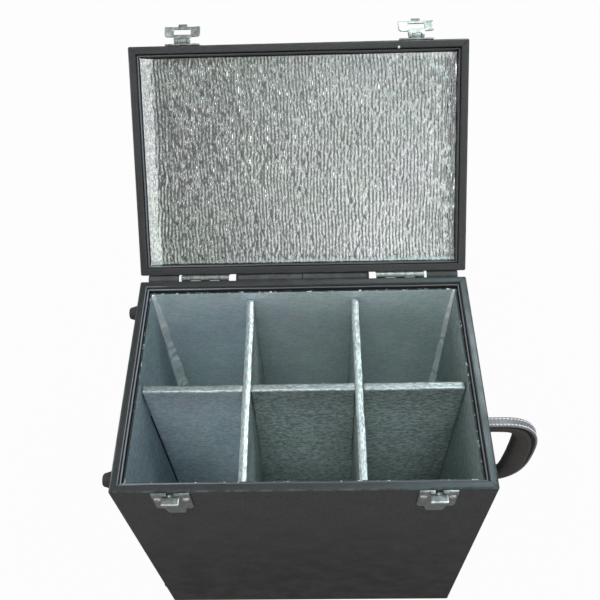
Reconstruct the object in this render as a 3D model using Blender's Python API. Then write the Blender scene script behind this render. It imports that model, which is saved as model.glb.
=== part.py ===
"""Leather wine carrier for six bottles, standing upright with its lid open.

A rigid box of boards is wrapped in smooth dark leather, lined with foil-faced
foam and split into six cells by half-lapped dividers. The lid turns on two butt
hinges at the back and shuts with two spring latches at the front. A padded
handle on the right wall and four feet on the left wall let it be carried and
laid down on its side.

Metres, +Z up. The origin is the middle of the base, the front faces -Y and the
handle is at +X. Lid pieces are drawn where they lie when the lid is shut, and
their pivot turns them open.
"""

import math

import bmesh
import bpy
from mathutils import Matrix, Vector

# Case
CASE_WIDTH = 0.300
CASE_DEPTH = 0.204
BODY_HEIGHT = 0.315
LID_HEIGHT = 0.040
CORNER_RADIUS = 0.0016
LID_OPENING = math.radians(134)
SHUT_GAP = 0.0006
FIT = 0.0003  # air between two pieces that lie against each other

# Walls, from the outside in
LEATHER = 0.0010
BOARD = 0.0042
TURNED_EDGE = 0.0008
TURN_IN = 0.022
TURN_UNDER = 0.016
BASE_PANEL = 0.0012
BASE_PANEL_INSET = 0.004
FLOOR_BOARD = 0.0050

# Inner lip, foam lining and dividers
LIP_GAP = 0.0006
LIP = 0.0013
LIP_DROP = 0.0025
LIP_HEIGHT = 0.024
LINING_EDGE = 0.0020
LINING_DROP = 0.006
FLOOR_LINING = 0.0025
DIVIDER = 0.0060
DIVIDER_DROP = 0.015
DIVIDER_LAP = 0.150
MIDDLE_CELL_SHARE = 0.302
CROSS_FORWARD = 0.003
PAD_EDGE_DEPTH = 0.014
PAD_CROWN = 0.0035
PAD_ROUNDING = 0.005

# Hinges
HINGE_SPACING_SHARE = 0.6
HINGE_WIDTH = 0.044
HINGE_LEAF = 0.0012
HINGE_LEAF_HEIGHT = 0.018
HINGE_KNUCKLE = 0.0023
HINGE_PIN = 0.0010
HINGE_STEP = 0.0001
KNUCKLES = 5

# Latches
LATCH_LEFT_SHARE = 0.34
LATCH_RIGHT_SHARE = 0.347
LATCH_WIDTH = 0.030
LATCH_SHEET = 0.0012
LATCH_NECK = 0.0140
KEEPER_DROP = 0.0005
KEEPER_HEIGHT = 0.0295
KEEPER_TONGUE_WIDTH = 0.018
KEEPER_TONGUE = 0.0095
KEEPER_TAPER = 0.0025
KEEPER_BRIDGE = 0.0030
KEEPER_BRIDGE_HEIGHT = 0.0039
KEEPER_HOOK = 0.0016
KEEPER_HOOK_OUT = 0.0080
KEEPER_HOOK_WIDTH = 0.0130
KEEPER_NOTCH = 0.0030
LID_PLATE_HEIGHT = 0.024
HASP_PIN = 0.0009
HASP_PIN_OUT = 0.0040
HASP_PIN_RISE = 0.0030
HASP_KNUCKLE = 0.0021
HASP_KNUCKLE_WIDTH = 0.0031
HASP_WIDTH = 0.0314
HASP_FRAME_START = 0.0027
HASP_WINDOW_START = 0.0066
HASP_WINDOW = 0.0046
HASP_WINDOW_WIDTH = 0.0142
HASP_FRAME_END = 0.0150
HASP_TAB = 0.0036
HASP_TAB_WIDTH = 0.0084
HASP_TAB_PROUD = 0.0022
HASP_FLANGE = 0.0012
HASP_FLANGE_DROP = 0.0026
HASP_CORNER = 0.0028
HASP_OPENING = math.radians(120)
SCREW_HEAD = 0.0025
SCREW_DOME = 0.0013
SCREW_SHANK = 0.0012
SCREW_SPACING = 0.0222
SCREW_DROP = 0.0095

# Handle
HANDLE_CENTRE_SHARE = 0.505
HANDLE_HALF_HEIGHT = 0.0643
HANDLE_REACH = 0.0758
HANDLE_BOW = 0.0434
HANDLE_START = 0.0165
STRAP_WIDTH = 0.0098
STRAP = 0.0022
CORE = 0.0016
CORE_WIDTH = 0.0078
GRIP_ARM = 0.0092
GRIP_THICKNESS = 0.0212
GRIP_ARM_WIDTH = 0.0125
GRIP_WIDTH = 0.0180
HANDLE_PIN = 0.0020
HANDLE_PIN_OUT = 0.0090
HANDLE_PIN_HEAD = 0.0031
HANDLE_PIN_CAP = 0.0012
EYE_RADIUS = 0.0042
EYE_HEIGHT = 0.0050
EAR = 0.0016
EAR_HALF_WIDTH = 0.0050
EAR_FIT = 0.0004
BRACKET_WIDTH = 0.018
BRACKET_HEIGHT = 0.030
BRACKET_PLATE = 0.0016
BRACKET_CORNER = 0.004

# Feet on the left wall
FOOT_HEIGHT = 0.0090
FOOT_BASE = 0.0075
FOOT_TIP = 0.0045
FOOT_EDGE = 0.0008
FOOT_HOLE = 0.0022
FOOT_HOLE_DEPTH = 0.0040
FOOT_FROM_FRONT = 0.017
FOOT_FROM_BACK = 0.025
FOOT_FROM_END = 0.0155

# Shared finish
OVERRUN = 0.001
SMALLEST_CORNER = 0.0003
SHEET_EDGE = 0.0003
BOARD_EDGE = 0.0005
DIVIDER_EDGE = 0.0016
EDGE_STEPS = 2
CORNER_STEPS = 4
ROUND_STEPS = 24
ARM_STEPS = 4
BOW_STEPS = 26
GRIP_SECTION_STEPS = 16
PAD_STEPS = 5
GRIP_SWELL_SHARE = 1.6
GRIP_SQUARE_SHARE = 0.72
BOW_SQUARE_SHARE = 0.76

# Insets from the outside of the case
BOARD_FACE = LEATHER + FIT
BOARD_BACK = BOARD_FACE + BOARD
TURN_FACE = BOARD_BACK + FIT
WALL = TURN_FACE + TURNED_EDGE
LIP_FACE = WALL + LIP_GAP
LIP_BACK = LIP_FACE + LIP
LINING_FACE = LIP_BACK + FIT + LINING_EDGE

# Levels of the body
HALF_WIDTH = CASE_WIDTH / 2
HALF_DEPTH = CASE_DEPTH / 2
WRAP_BOTTOM = BASE_PANEL + FIT
BOARD_BOTTOM = WRAP_BOTTOM + LEATHER + FIT
BOARD_TOP = BODY_HEIGHT - LEATHER - FIT
FLOOR_TOP = BOARD_BOTTOM + FLOOR_BOARD
LINING_BOTTOM = FLOOR_TOP + FIT
CELL_FLOOR = LINING_BOTTOM + FLOOR_LINING
LINING_TOP = BODY_HEIGHT - LINING_DROP
LIP_TOP = BODY_HEIGHT - LIP_DROP
LIP_BOTTOM = LIP_TOP - LIP_HEIGHT
DIVIDER_BOTTOM = CELL_FLOOR + FIT
DIVIDER_TOP = BODY_HEIGHT - DIVIDER_DROP
DIVIDER_X = (MIDDLE_CELL_SHARE * CASE_WIDTH + DIVIDER) / 2

# Levels of the shut lid
LID_RIM = BODY_HEIGHT + SHUT_GAP
LID_TOP = LID_RIM + LID_HEIGHT
LID_BOARD_TOP = LID_TOP - LEATHER - FIT
LID_CEILING = LID_BOARD_TOP - BOARD

# Axes
HINGE_OUT = FIT + HINGE_KNUCKLE + HINGE_STEP
HINGE_AXIS = Vector((0, HALF_DEPTH + HINGE_OUT, BODY_HEIGHT + SHUT_GAP / 2))
HASP_AXIS_Y = -HALF_DEPTH - HASP_PIN_OUT
HASP_AXIS_Z = LID_RIM + HASP_PIN_RISE
HANDLE_CENTRE = HANDLE_CENTRE_SHARE * BODY_HEIGHT
HANDLE_AXIS = Vector((HALF_WIDTH + HANDLE_PIN_OUT, 0, HANDLE_CENTRE))

SIDES = {"left": -1, "right": 1}
LATCH_X = {"left": -LATCH_LEFT_SHARE * CASE_WIDTH, "right": LATCH_RIGHT_SHARE * CASE_WIDTH}
ALONG_X = Matrix.Rotation(math.pi / 2, 4, "Y")
ALONG_MINUS_X = Matrix.Rotation(-math.pi / 2, 4, "Y")
ALONG_MINUS_Y = Matrix.Rotation(math.pi / 2, 4, "X")


def finish(name, colour, roughness, metallic):
    """A plain material with the piece's colour."""
    material = bpy.data.materials.new(name)
    material.use_nodes = True
    shader = material.node_tree.nodes["Principled BSDF"]
    shader.inputs["Base Color"].default_value = (*colour, 1)
    shader.inputs["Roughness"].default_value = roughness
    shader.inputs["Metallic"].default_value = metallic
    material.diffuse_color = (*colour, 1)
    return material


def object_from(name, shape, material):
    """Turns a bmesh into a named object with its faces pointing out."""
    bmesh.ops.recalc_face_normals(shape, faces=shape.faces)
    mesh = bpy.data.meshes.new(name)
    shape.to_mesh(mesh)
    shape.free()
    mesh.materials.append(material)
    piece = bpy.data.objects.new(name, mesh)
    bpy.context.scene.collection.objects.link(piece)
    return piece


def join_loops(shape, loops, closed):
    """Skins a run of equal loops, and caps both ends of an open run."""
    pairs = list(zip(loops, loops[1:]))
    if closed:
        pairs.append((loops[-1], loops[0]))
    else:
        shape.faces.new(loops[0])
        shape.faces.new(loops[-1])
    for first, second in pairs:
        for i, corner in enumerate(first):
            j = (i + 1) % len(first)
            shape.faces.new((corner, first[j], second[j], second[i]))


def rounded_rectangle(half_x, half_y, radius):
    """Corner arcs of a rectangle about the origin, always with the same count."""
    points = []
    for corner, (sign_x, sign_y) in enumerate(((1, 1), (-1, 1), (-1, -1), (1, -1))):
        for step in range(CORNER_STEPS + 1):
            angle = (corner + step / CORNER_STEPS) * math.pi / 2
            points.append((
                sign_x * (half_x - radius) + radius * math.cos(angle),
                sign_y * (half_y - radius) + radius * math.sin(angle),
            ))
    return points


def case_ring(name, profile, closed, material):
    """Sweeps a profile of (inset, level) points round the outline of the case."""
    shape = bmesh.new()
    loops = []
    for inset, level in profile:
        corner = max(CORNER_RADIUS - inset, SMALLEST_CORNER)
        outline = rounded_rectangle(HALF_WIDTH - inset, HALF_DEPTH - inset, corner)
        loops.append([shape.verts.new((x, y, level)) for x, y in outline])
    join_loops(shape, loops, closed)
    return object_from(name, shape, material)


def prism(name, outline, axis, low, high, material):
    """Extrudes an outline along X, Y or Z. Its points hold the other two places in order."""
    places = {
        "X": lambda a, b, along: (along, a, b),
        "Y": lambda a, b, along: (a, along, b),
        "Z": lambda a, b, along: (a, b, along),
    }
    shape = bmesh.new()
    loops = [[shape.verts.new(places[axis](a, b, end)) for a, b in outline] for end in (low, high)]
    join_loops(shape, loops, False)
    return object_from(name, shape, material)


def block(name, low, high, material):
    """A box between two corners."""
    outline = ((low[0], low[1]), (high[0], low[1]), (high[0], high[1]), (low[0], high[1]))
    return prism(name, outline, "Z", low[2], high[2], material)


def turned(name, profile, place, material):
    """Turns a profile of (radius, height) points about its Z axis, and puts it at a place."""
    shape = bmesh.new()
    loops = []
    for radius, height in profile:
        turns = [2 * math.pi * step / ROUND_STEPS for step in range(ROUND_STEPS)]
        loops.append([
            shape.verts.new(place @ Vector((radius * math.cos(turn), radius * math.sin(turn), height)))
            for turn in turns
        ])
    join_loops(shape, loops, False)
    return object_from(name, shape, material)


def rod(name, radius, start, end, turn, material):
    """A plain round bar from one point along the direction that turn gives its Z axis."""
    length = (end - start).length
    return turned(name, ((radius, 0), (radius, length)), Matrix.Translation(start) @ turn, material)


def combine(piece, others, operation):
    """Joins the others to a piece, or cuts them out of it, and removes them."""
    for other in others:
        modifier = piece.modifiers.new(operation.title(), "BOOLEAN")
        modifier.operation = operation
        modifier.object = other
    bpy.context.view_layer.update()
    graph = bpy.context.evaluated_depsgraph_get()
    result = bpy.data.meshes.new_from_object(piece.evaluated_get(graph))
    piece.modifiers.clear()
    piece.data = result
    for other in others:
        bpy.data.objects.remove(other)
    return piece


def soften(piece, width):
    """Rounds the sharp edges of a piece."""
    bevel = piece.modifiers.new("Rounded edges", "BEVEL")
    bevel.width = width
    bevel.segments = EDGE_STEPS
    bevel.limit_method = "ANGLE"
    bevel.angle_limit = math.radians(40)
    return piece


def smooth(piece):
    piece.data.shade_smooth()
    piece.data.set_sharp_from_angle(angle=math.radians(35))
    return piece


def pivot(name, place, parent=None, parent_place=Vector()):
    """An empty on a joint's axis, which turns the pieces parented to it."""
    empty = bpy.data.objects.new(name, None)
    bpy.context.scene.collection.objects.link(empty)
    empty.parent = parent
    empty.location = place - parent_place
    return empty


def hang(pieces, empty, place):
    """Parents pieces to a pivot whose own place was given in the frame of the shut case."""
    for piece in pieces:
        piece.parent = empty
        piece.matrix_parent_inverse = Matrix.Translation(-place)


def body_shell(leather, board):
    """The wrapped box: leather outside and over the rim, boards inside it, a base panel under it."""
    outer = BODY_HEIGHT
    profile = (
        (TURN_UNDER, WRAP_BOTTOM),
        (0, WRAP_BOTTOM),
        (0, outer),
        (WALL, outer),
        (WALL, outer - TURN_IN),
        (TURN_FACE, outer - TURN_IN),
        (TURN_FACE, BOARD_TOP + FIT),
        (LEATHER, BOARD_TOP + FIT),
        (LEATHER, BOARD_BOTTOM - FIT),
        (TURN_UNDER, BOARD_BOTTOM - FIT),
    )
    soften(smooth(case_ring("body_leather", profile, True, leather)), SHEET_EDGE)

    edge = BASE_PANEL_INSET
    panel = block(
        "base_leather",
        (edge - HALF_WIDTH, edge - HALF_DEPTH, 0),
        (HALF_WIDTH - edge, HALF_DEPTH - edge, BASE_PANEL),
        leather,
    )
    soften(panel, SHEET_EDGE)

    outside_x = HALF_WIDTH - BOARD_FACE
    outside_y = HALF_DEPTH - BOARD_FACE
    inside_x = HALF_WIDTH - BOARD_BACK
    inside_y = HALF_DEPTH - BOARD_BACK
    for name, near, far in (("front", -outside_y, -inside_y), ("back", inside_y, outside_y)):
        block(f"{name}_board", (-outside_x, near, BOARD_BOTTOM), (outside_x, far, BOARD_TOP), board)
    for name, near, far in (("left", -outside_x, -inside_x), ("right", inside_x, outside_x)):
        low = (near, FIT - inside_y, BOARD_BOTTOM)
        high = (far, inside_y - FIT, BOARD_TOP)
        block(f"{name}_board", low, high, board)
    low = (FIT - inside_x, FIT - inside_y, BOARD_BOTTOM)
    high = (inside_x - FIT, inside_y - FIT, FLOOR_TOP)
    block("floor_board", low, high, board)


def inner_lip(name, top, bottom, leather):
    """A thin frame inside the rim, between the wall and the foam."""
    profile = ((LIP_FACE, bottom), (LIP_FACE, top), (LIP_BACK, top), (LIP_BACK, bottom))
    return soften(case_ring(name, profile, True, leather), SHEET_EDGE)


def body_lining(foil):
    """Foil-faced foam on the walls and the floor, rebated at the top behind the lip."""
    back = BOARD_BACK + FIT
    edge = LIP_BACK + FIT
    step = LIP_BOTTOM - FIT
    profile = (
        (back, LINING_BOTTOM), (LINING_FACE, LINING_BOTTOM), (LINING_FACE, LINING_TOP),
        (edge, LINING_TOP), (edge, step), (back, step),
    )
    for name, sign in (("front", -1), ("back", 1)):
        outline = [(sign * (HALF_DEPTH - inset), level) for inset, level in profile]
        reach = HALF_WIDTH - edge
        soften(prism(f"{name}_lining", outline, "X", -reach, reach, foil), BOARD_EDGE)
    for name, sign in SIDES.items():
        outline = [(sign * (HALF_WIDTH - inset), level) for inset, level in profile]
        reach = HALF_DEPTH - LINING_FACE - FIT
        panel = prism(f"{name}_lining", [(a, b) for a, b in outline], "Y", -reach, reach, foil)
        soften(panel, BOARD_EDGE)
    reach_x = HALF_WIDTH - LINING_FACE - FIT
    reach_y = HALF_DEPTH - LINING_FACE - FIT
    block("floor_lining", (-reach_x, -reach_y, LINING_BOTTOM), (reach_x, reach_y, CELL_FLOOR), foil)


def dividers(foil):
    """Two long dividers slotted from below over one cross divider slotted from above."""
    reach_x = HALF_WIDTH - LINING_FACE - FIT
    reach_y = HALF_DEPTH - LINING_FACE - FIT
    half_slot = DIVIDER / 2 + FIT
    cross_y = -CROSS_FORWARD
    for name, sign in SIDES.items():
        top_of_slot = DIVIDER_BOTTOM + DIVIDER_LAP + FIT
        outline = (
            (-reach_y, DIVIDER_BOTTOM), (cross_y - half_slot, DIVIDER_BOTTOM),
            (cross_y - half_slot, top_of_slot), (cross_y + half_slot, top_of_slot),
            (cross_y + half_slot, DIVIDER_BOTTOM), (reach_y, DIVIDER_BOTTOM),
            (reach_y, DIVIDER_TOP), (-reach_y, DIVIDER_TOP),
        )
        near = sign * DIVIDER_X - DIVIDER / 2
        wall = prism(f"{name}_divider", outline, "X", near, near + DIVIDER, foil)
        soften(wall, DIVIDER_EDGE)
    outline = [(-reach_x, DIVIDER_TOP), (-reach_x, DIVIDER_BOTTOM), (reach_x, DIVIDER_BOTTOM), (reach_x, DIVIDER_TOP)]
    foot_of_slot = DIVIDER_BOTTOM + DIVIDER_LAP
    for centre in (DIVIDER_X, -DIVIDER_X):
        outline += [
            (centre + half_slot, DIVIDER_TOP), (centre + half_slot, foot_of_slot),
            (centre - half_slot, foot_of_slot), (centre - half_slot, DIVIDER_TOP),
        ]
    wall = prism("cross_divider", outline, "Y", cross_y - DIVIDER / 2, cross_y + DIVIDER / 2, foil)
    soften(wall, DIVIDER_EDGE)


def lid_shell(leather, board):
    """The wrapped lid: one leather cover over the top and the rim, with boards inside it."""
    profile = (
        (0, LID_TOP),
        (0, LID_RIM),
        (WALL, LID_RIM),
        (WALL, LID_RIM + TURN_IN),
        (TURN_FACE, LID_RIM + TURN_IN),
        (TURN_FACE, LID_RIM + LEATHER),
        (LEATHER, LID_RIM + LEATHER),
        (LEATHER, LID_BOARD_TOP + FIT),
    )
    cover = soften(smooth(case_ring("lid_leather", profile, False, leather)), SHEET_EDGE)
    low = LID_RIM + LEATHER + FIT
    outside_x = HALF_WIDTH - BOARD_FACE
    outside_y = HALF_DEPTH - BOARD_FACE
    inside_x = HALF_WIDTH - BOARD_BACK
    inside_y = HALF_DEPTH - BOARD_BACK
    under = LID_CEILING - FIT
    pieces = [
        cover,
        block("lid_top_board", (-outside_x, -outside_y, LID_CEILING), (outside_x, outside_y, LID_BOARD_TOP), board),
        block("lid_front_board", (-outside_x, -outside_y, low), (outside_x, -inside_y, under), board),
        block("lid_back_board", (-outside_x, inside_y, low), (outside_x, outside_y, under), board),
        block("lid_left_board", (-outside_x, FIT - inside_y, low), (-inside_x, inside_y - FIT, under), board),
        block("lid_right_board", (inside_x, FIT - inside_y, low), (outside_x, inside_y - FIT, under), board),
    ]
    return pieces


def lid_pad(foil):
    """The foil-faced foam pad in the lid, rounded at its edge and crowned in the middle."""
    inset = LIP_BACK + FIT
    top = LID_CEILING - FIT
    edge = LID_RIM + PAD_EDGE_DEPTH
    shape = bmesh.new()
    levels = [(0, top), (0, edge + PAD_ROUNDING)]
    for step in range(1, PAD_STEPS + 1):
        turn = step / PAD_STEPS * math.pi / 2
        levels.append((PAD_ROUNDING * (1 - math.cos(turn)), edge + PAD_ROUNDING * (1 - math.sin(turn))))
    for step in range(1, PAD_STEPS + 1):
        share = step / (PAD_STEPS + 1)
        further = share * (HALF_DEPTH - inset - PAD_ROUNDING)
        levels.append((PAD_ROUNDING + further, edge - PAD_CROWN * math.sin(share * math.pi / 2)))
    loops = []
    for further, level in levels:
        half_x = HALF_WIDTH - inset - further
        half_y = HALF_DEPTH - inset - further
        outline = rounded_rectangle(half_x, half_y, SMALLEST_CORNER + PAD_ROUNDING / 2)
        loops.append([shape.verts.new((x, y, level)) for x, y in outline])
    join_loops(shape, loops, False)
    return smooth(object_from("lid_pad", shape, foil))


def hinge(name, centre, metal):
    """A butt hinge: two leaves with interleaved knuckles on one pin. Gives its lid leaf."""
    near = HALF_DEPTH + FIT
    far = near + HINGE_LEAF
    clear = HINGE_KNUCKLE + FIT
    pitch = HINGE_WIDTH / KNUCKLES
    left = centre - HINGE_WIDTH / 2
    leaves = []
    for leaf, sign in (("body", -1), ("lid", 1)):
        base = HINGE_AXIS.z + sign * clear
        end = HINGE_AXIS.z + sign * HINGE_LEAF_HEIGHT
        corners = sorted((base, end))
        plate = block(f"{leaf}_{name}_leaf", (left, near, corners[0]), (left + HINGE_WIDTH, far, corners[1]), metal)
        parts = []
        for knuckle in range(0 if leaf == "body" else 1, KNUCKLES, 2):
            start = left + knuckle * pitch + FIT / 2
            stop = start + pitch - FIT
            reach = sorted((HINGE_AXIS.z, base + sign * OVERRUN))
            parts.append(block("tongue", (start, near, reach[0]), (stop, far, reach[1]), metal))
            first = Vector((start, HINGE_AXIS.y, HINGE_AXIS.z))
            last = Vector((stop, HINGE_AXIS.y, HINGE_AXIS.z))
            parts.append(rod("knuckle", HINGE_KNUCKLE, first, last, ALONG_X, metal))
        combine(plate, parts, "UNION")
        first = Vector((left - OVERRUN, HINGE_AXIS.y, HINGE_AXIS.z))
        last = first + Vector((HINGE_WIDTH + 2 * OVERRUN, 0, 0))
        combine(plate, [rod("bore", HINGE_PIN + FIT, first, last, ALONG_X, metal)], "DIFFERENCE")
        leaves.append(smooth(plate))
    first = Vector((left, HINGE_AXIS.y, HINGE_AXIS.z))
    rod(f"{name}_pin", HINGE_PIN, first, first + Vector((HINGE_WIDTH, 0, 0)), ALONG_X, metal)
    return leaves[1]


def keeper(name, centre, metal):
    """The body half of a latch: a tapered plate with a bridge, a hook and a notch."""
    half = LATCH_WIDTH / 2
    tongue = KEEPER_TONGUE_WIDTH / 2
    top = BODY_HEIGHT - KEEPER_DROP
    bottom = top - KEEPER_HEIGHT
    back = -HALF_DEPTH - FIT
    front = back - LATCH_SHEET
    outline = (
        (centre - half, top), (centre - half, bottom + KEEPER_TAPER),
        (centre - half + KEEPER_TAPER, bottom), (centre - tongue, bottom),
        (centre - tongue + KEEPER_TAPER, bottom - KEEPER_TONGUE),
        (centre + tongue - KEEPER_TAPER, bottom - KEEPER_TONGUE), (centre + tongue, bottom),
        (centre + half - KEEPER_TAPER, bottom), (centre + half, bottom + KEEPER_TAPER),
        (centre + half, top),
    )
    plate = prism(name, outline, "Y", front, back, metal)
    neck = LATCH_NECK / 2
    hook = KEEPER_HOOK_WIDTH / 2
    step = top - KEEPER_BRIDGE_HEIGHT
    bridge_front = -HALF_DEPTH - KEEPER_BRIDGE
    inside = back - LATCH_SHEET / 2
    hook_front = -HALF_DEPTH - KEEPER_HOOK_OUT
    bridge = block("bridge", (centre - neck, bridge_front, step), (centre + neck, inside, top), metal)
    lip = block("hook", (centre - hook, hook_front, step - KEEPER_HOOK), (centre + hook, inside, step), metal)
    combine(plate, [bridge, lip], "UNION")
    deep = Vector((centre, -HALF_DEPTH + OVERRUN, top))
    past = Vector((centre, bridge_front - OVERRUN, top))
    cuts = [rod("notch", KEEPER_NOTCH, deep, past, ALONG_MINUS_Y, metal)]
    for side in SIDES.values():
        at = Vector((centre + side * SCREW_SPACING / 2, back + OVERRUN, top - SCREW_DROP))
        out = at - Vector((0, LATCH_SHEET + 2 * OVERRUN, 0))
        cuts.append(rod("screw hole", SCREW_SHANK + FIT, at, out, ALONG_MINUS_Y, metal))
    return smooth(combine(plate, cuts, "DIFFERENCE"))


def keeper_screw(name, centre, metal):
    """A round-headed screw on the keeper's face, its shank stopping at the leather."""
    face = LATCH_SHEET + FIT
    profile = [(SCREW_SHANK, 0), (SCREW_SHANK, face), (SCREW_HEAD, face)]
    steps = EDGE_STEPS + 1
    for step in range(1, steps):
        turn = step / steps * math.pi / 2
        profile.append((SCREW_HEAD * math.cos(turn), face + SCREW_DOME * math.sin(turn)))
    profile.append((SMALLEST_CORNER, face + SCREW_DOME))
    seat = Vector((centre, -HALF_DEPTH - FIT, BODY_HEIGHT - KEEPER_DROP - SCREW_DROP))
    return smooth(turned(name, profile, Matrix.Translation(seat) @ ALONG_MINUS_Y, metal))


def lid_plate(name, centre, metal):
    """The lid half of a latch: a plate whose middle knuckle carries the hasp's pin."""
    half = LATCH_WIDTH / 2
    back = -HALF_DEPTH - FIT
    front = back - LATCH_SHEET
    low = LID_RIM + KEEPER_DROP
    corner = KEEPER_TAPER
    top = low + LID_PLATE_HEIGHT
    outline = (
        (centre - half, low), (centre + half, low), (centre + half, top - corner),
        (centre + half - corner, top), (centre - half + corner, top), (centre - half, top - corner),
    )
    plate = prism(name, outline, "Y", front, back, metal)
    reach = LATCH_NECK / 2 - HASP_KNUCKLE_WIDTH - FIT
    inside = back - LATCH_SHEET / 2
    web_low = HASP_AXIS_Z - HASP_KNUCKLE / 2
    web = block(
        "web", (centre - reach, HASP_AXIS_Y, web_low),
        (centre + reach, inside, HASP_AXIS_Z + HASP_KNUCKLE / 2), metal,
    )
    first = Vector((centre - reach, HASP_AXIS_Y, HASP_AXIS_Z))
    last = Vector((centre + reach, HASP_AXIS_Y, HASP_AXIS_Z))
    combine(plate, [web, rod("knuckle", HASP_KNUCKLE, first, last, ALONG_X, metal)], "UNION")
    over = Vector((OVERRUN, 0, 0))
    bore = rod("bore", HASP_PIN + FIT, first - over, last + over, ALONG_X, metal)
    return smooth(combine(plate, [bore], "DIFFERENCE"))


def hasp_pin(name, centre, metal):
    half = LATCH_NECK / 2
    first = Vector((centre - half, HASP_AXIS_Y, HASP_AXIS_Z))
    return rod(name, HASP_PIN, first, first + Vector((LATCH_NECK, 0, 0)), ALONG_X, metal)


def hasp(name, centre, metal):
    """The swinging loop of a latch, drawn hanging down over the keeper."""
    neck = LATCH_NECK / 2
    wing = HASP_WIDTH / 2
    tab = HASP_TAB_WIDTH / 2
    corner = HASP_CORNER
    axis_z = HASP_AXIS_Z
    front = HASP_AXIS_Y - LATCH_SHEET / 2
    back = HASP_AXIS_Y + LATCH_SHEET / 2
    frame_end = axis_z - HASP_FRAME_END
    right_side = (
        (neck, axis_z), (neck, axis_z - HASP_FRAME_START),
        (wing - corner, axis_z - HASP_FRAME_START), (wing, axis_z - HASP_FRAME_START - corner),
        (wing, frame_end + corner / 2), (wing - corner / 2, frame_end), (tab, frame_end),
    )
    outline = [(centre + x, z) for x, z in right_side]
    outline += [(centre - x, z) for x, z in reversed(right_side)]
    plate = prism(name, outline, "Y", front, back, metal)
    tab_low = frame_end - HASP_TAB
    window_top = axis_z - HASP_WINDOW_START
    half_window = HASP_WINDOW_WIDTH / 2
    flange_top = axis_z - HASP_FRAME_START - corner
    flange_low = frame_end + corner / 2
    parts = [
        block("tab", (centre - tab, front - HASP_TAB_PROUD, tab_low), (centre + tab, back, frame_end + SHEET_EDGE), metal)
    ]
    for side in SIDES.values():
        knuckle_out = centre + side * neck
        knuckle_in = centre + side * (neck - HASP_KNUCKLE_WIDTH)
        ends = sorted((knuckle_in, knuckle_out))
        first = Vector((ends[0], HASP_AXIS_Y, axis_z))
        last = Vector((ends[1], HASP_AXIS_Y, axis_z))
        parts.append(rod("knuckle", HASP_KNUCKLE, first, last, ALONG_X, metal))
        flange = sorted((centre + side * wing, centre + side * (wing - HASP_FLANGE)))
        back_flange = front + HASP_FLANGE_DROP
        parts.append(block("flange", (flange[0], front, flange_low), (flange[1], back_flange, flange_top), metal))
    combine(plate, parts, "UNION")
    gap = neck - HASP_KNUCKLE_WIDTH
    deep = HASP_KNUCKLE + OVERRUN
    cuts = [
        block(
            "window", (centre - half_window, front - OVERRUN, window_top - HASP_WINDOW),
            (centre + half_window, back + OVERRUN, window_top), metal,
        ),
        block(
            "knuckle gap", (centre - gap, HASP_AXIS_Y - deep, axis_z - HASP_KNUCKLE - FIT),
            (centre + gap, HASP_AXIS_Y + deep, axis_z + deep), metal,
        ),
    ]
    over = Vector((OVERRUN, 0, 0))
    first = Vector((centre - neck, HASP_AXIS_Y, axis_z)) - over
    last = Vector((centre + neck, HASP_AXIS_Y, axis_z)) + over
    cuts.append(rod("bore", HASP_PIN + FIT, first, last, ALONG_X, metal))
    return smooth(combine(plate, cuts, "DIFFERENCE"))


def bow_point(step):
    """A point of the handle's squared bow, from its top arm round to its bottom arm."""
    turn = math.pi * step / BOW_STEPS
    out = max(math.sin(turn), 0)
    up = math.copysign(abs(math.cos(turn)) ** BOW_SQUARE_SHARE, math.cos(turn))
    bow_start = HALF_WIDTH + HANDLE_REACH - HANDLE_BOW
    place = Vector((bow_start + HANDLE_BOW * out ** BOW_SQUARE_SHARE, 0, HANDLE_HALF_HEIGHT * up))
    return place, out


def handle_route():
    """Stations along the handle's outer face: (place, inward direction, swell from 0 to 1)."""
    start = HALF_WIDTH + HANDLE_START
    bow_start = HALF_WIDTH + HANDLE_REACH - HANDLE_BOW
    half = HANDLE_HALF_HEIGHT
    stations = []
    for step in range(ARM_STEPS):
        x = start + (bow_start - start) * step / ARM_STEPS
        stations.append((Vector((x, 0, half)), Vector((0, 0, -1)), 0))
    stations.append((Vector((bow_start, 0, half)), Vector((0, 0, -1)), 0))
    for step in range(1, BOW_STEPS):
        place, out = bow_point(step)
        along = bow_point(step + 1)[0] - bow_point(step - 1)[0]
        inward = Vector((along.z, 0, -along.x)).normalized()
        stations.append((place, inward, out ** GRIP_SWELL_SHARE))
    stations.append((Vector((bow_start, 0, -half)), Vector((0, 0, 1)), 0))
    for step in range(ARM_STEPS):
        x = bow_start + (start - bow_start) * (step + 1) / ARM_STEPS
        stations.append((Vector((x, 0, -half)), Vector((0, 0, 1)), 0))
    centre = Vector((0, 0, HANDLE_CENTRE))
    return [(place + centre, inward, swell) for place, inward, swell in stations]


def swept(name, route, section, material):
    """Skins sections of (across, inward) points along the handle's route."""
    shape = bmesh.new()
    loops = []
    for place, inward, swell in route:
        loops.append([
            shape.verts.new(place + Vector((0, across, 0)) + inward * depth)
            for across, depth in section(swell)
        ])
    join_loops(shape, loops, False)
    return object_from(name, shape, material)


def flat_section(half_width, near, far):
    return ((-half_width, near), (half_width, near), (half_width, far), (-half_width, far))


def grip_section(swell):
    """The padded underside: flat against the core, full and round towards the fingers."""
    half_width = (GRIP_ARM_WIDTH + (GRIP_WIDTH - GRIP_ARM_WIDTH) * swell) / 2
    thickness = GRIP_ARM + (GRIP_THICKNESS - GRIP_ARM) * swell
    near = STRAP + FIT + CORE + FIT
    points = []
    for step in range(GRIP_SECTION_STEPS + 1):
        turn = math.pi * step / GRIP_SECTION_STEPS
        across = math.copysign(abs(math.cos(turn)) ** GRIP_SQUARE_SHARE, math.cos(turn))
        deep = max(math.sin(turn), 0) ** GRIP_SQUARE_SHARE
        points.append((half_width * across, near + thickness * deep))
    return points


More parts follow.
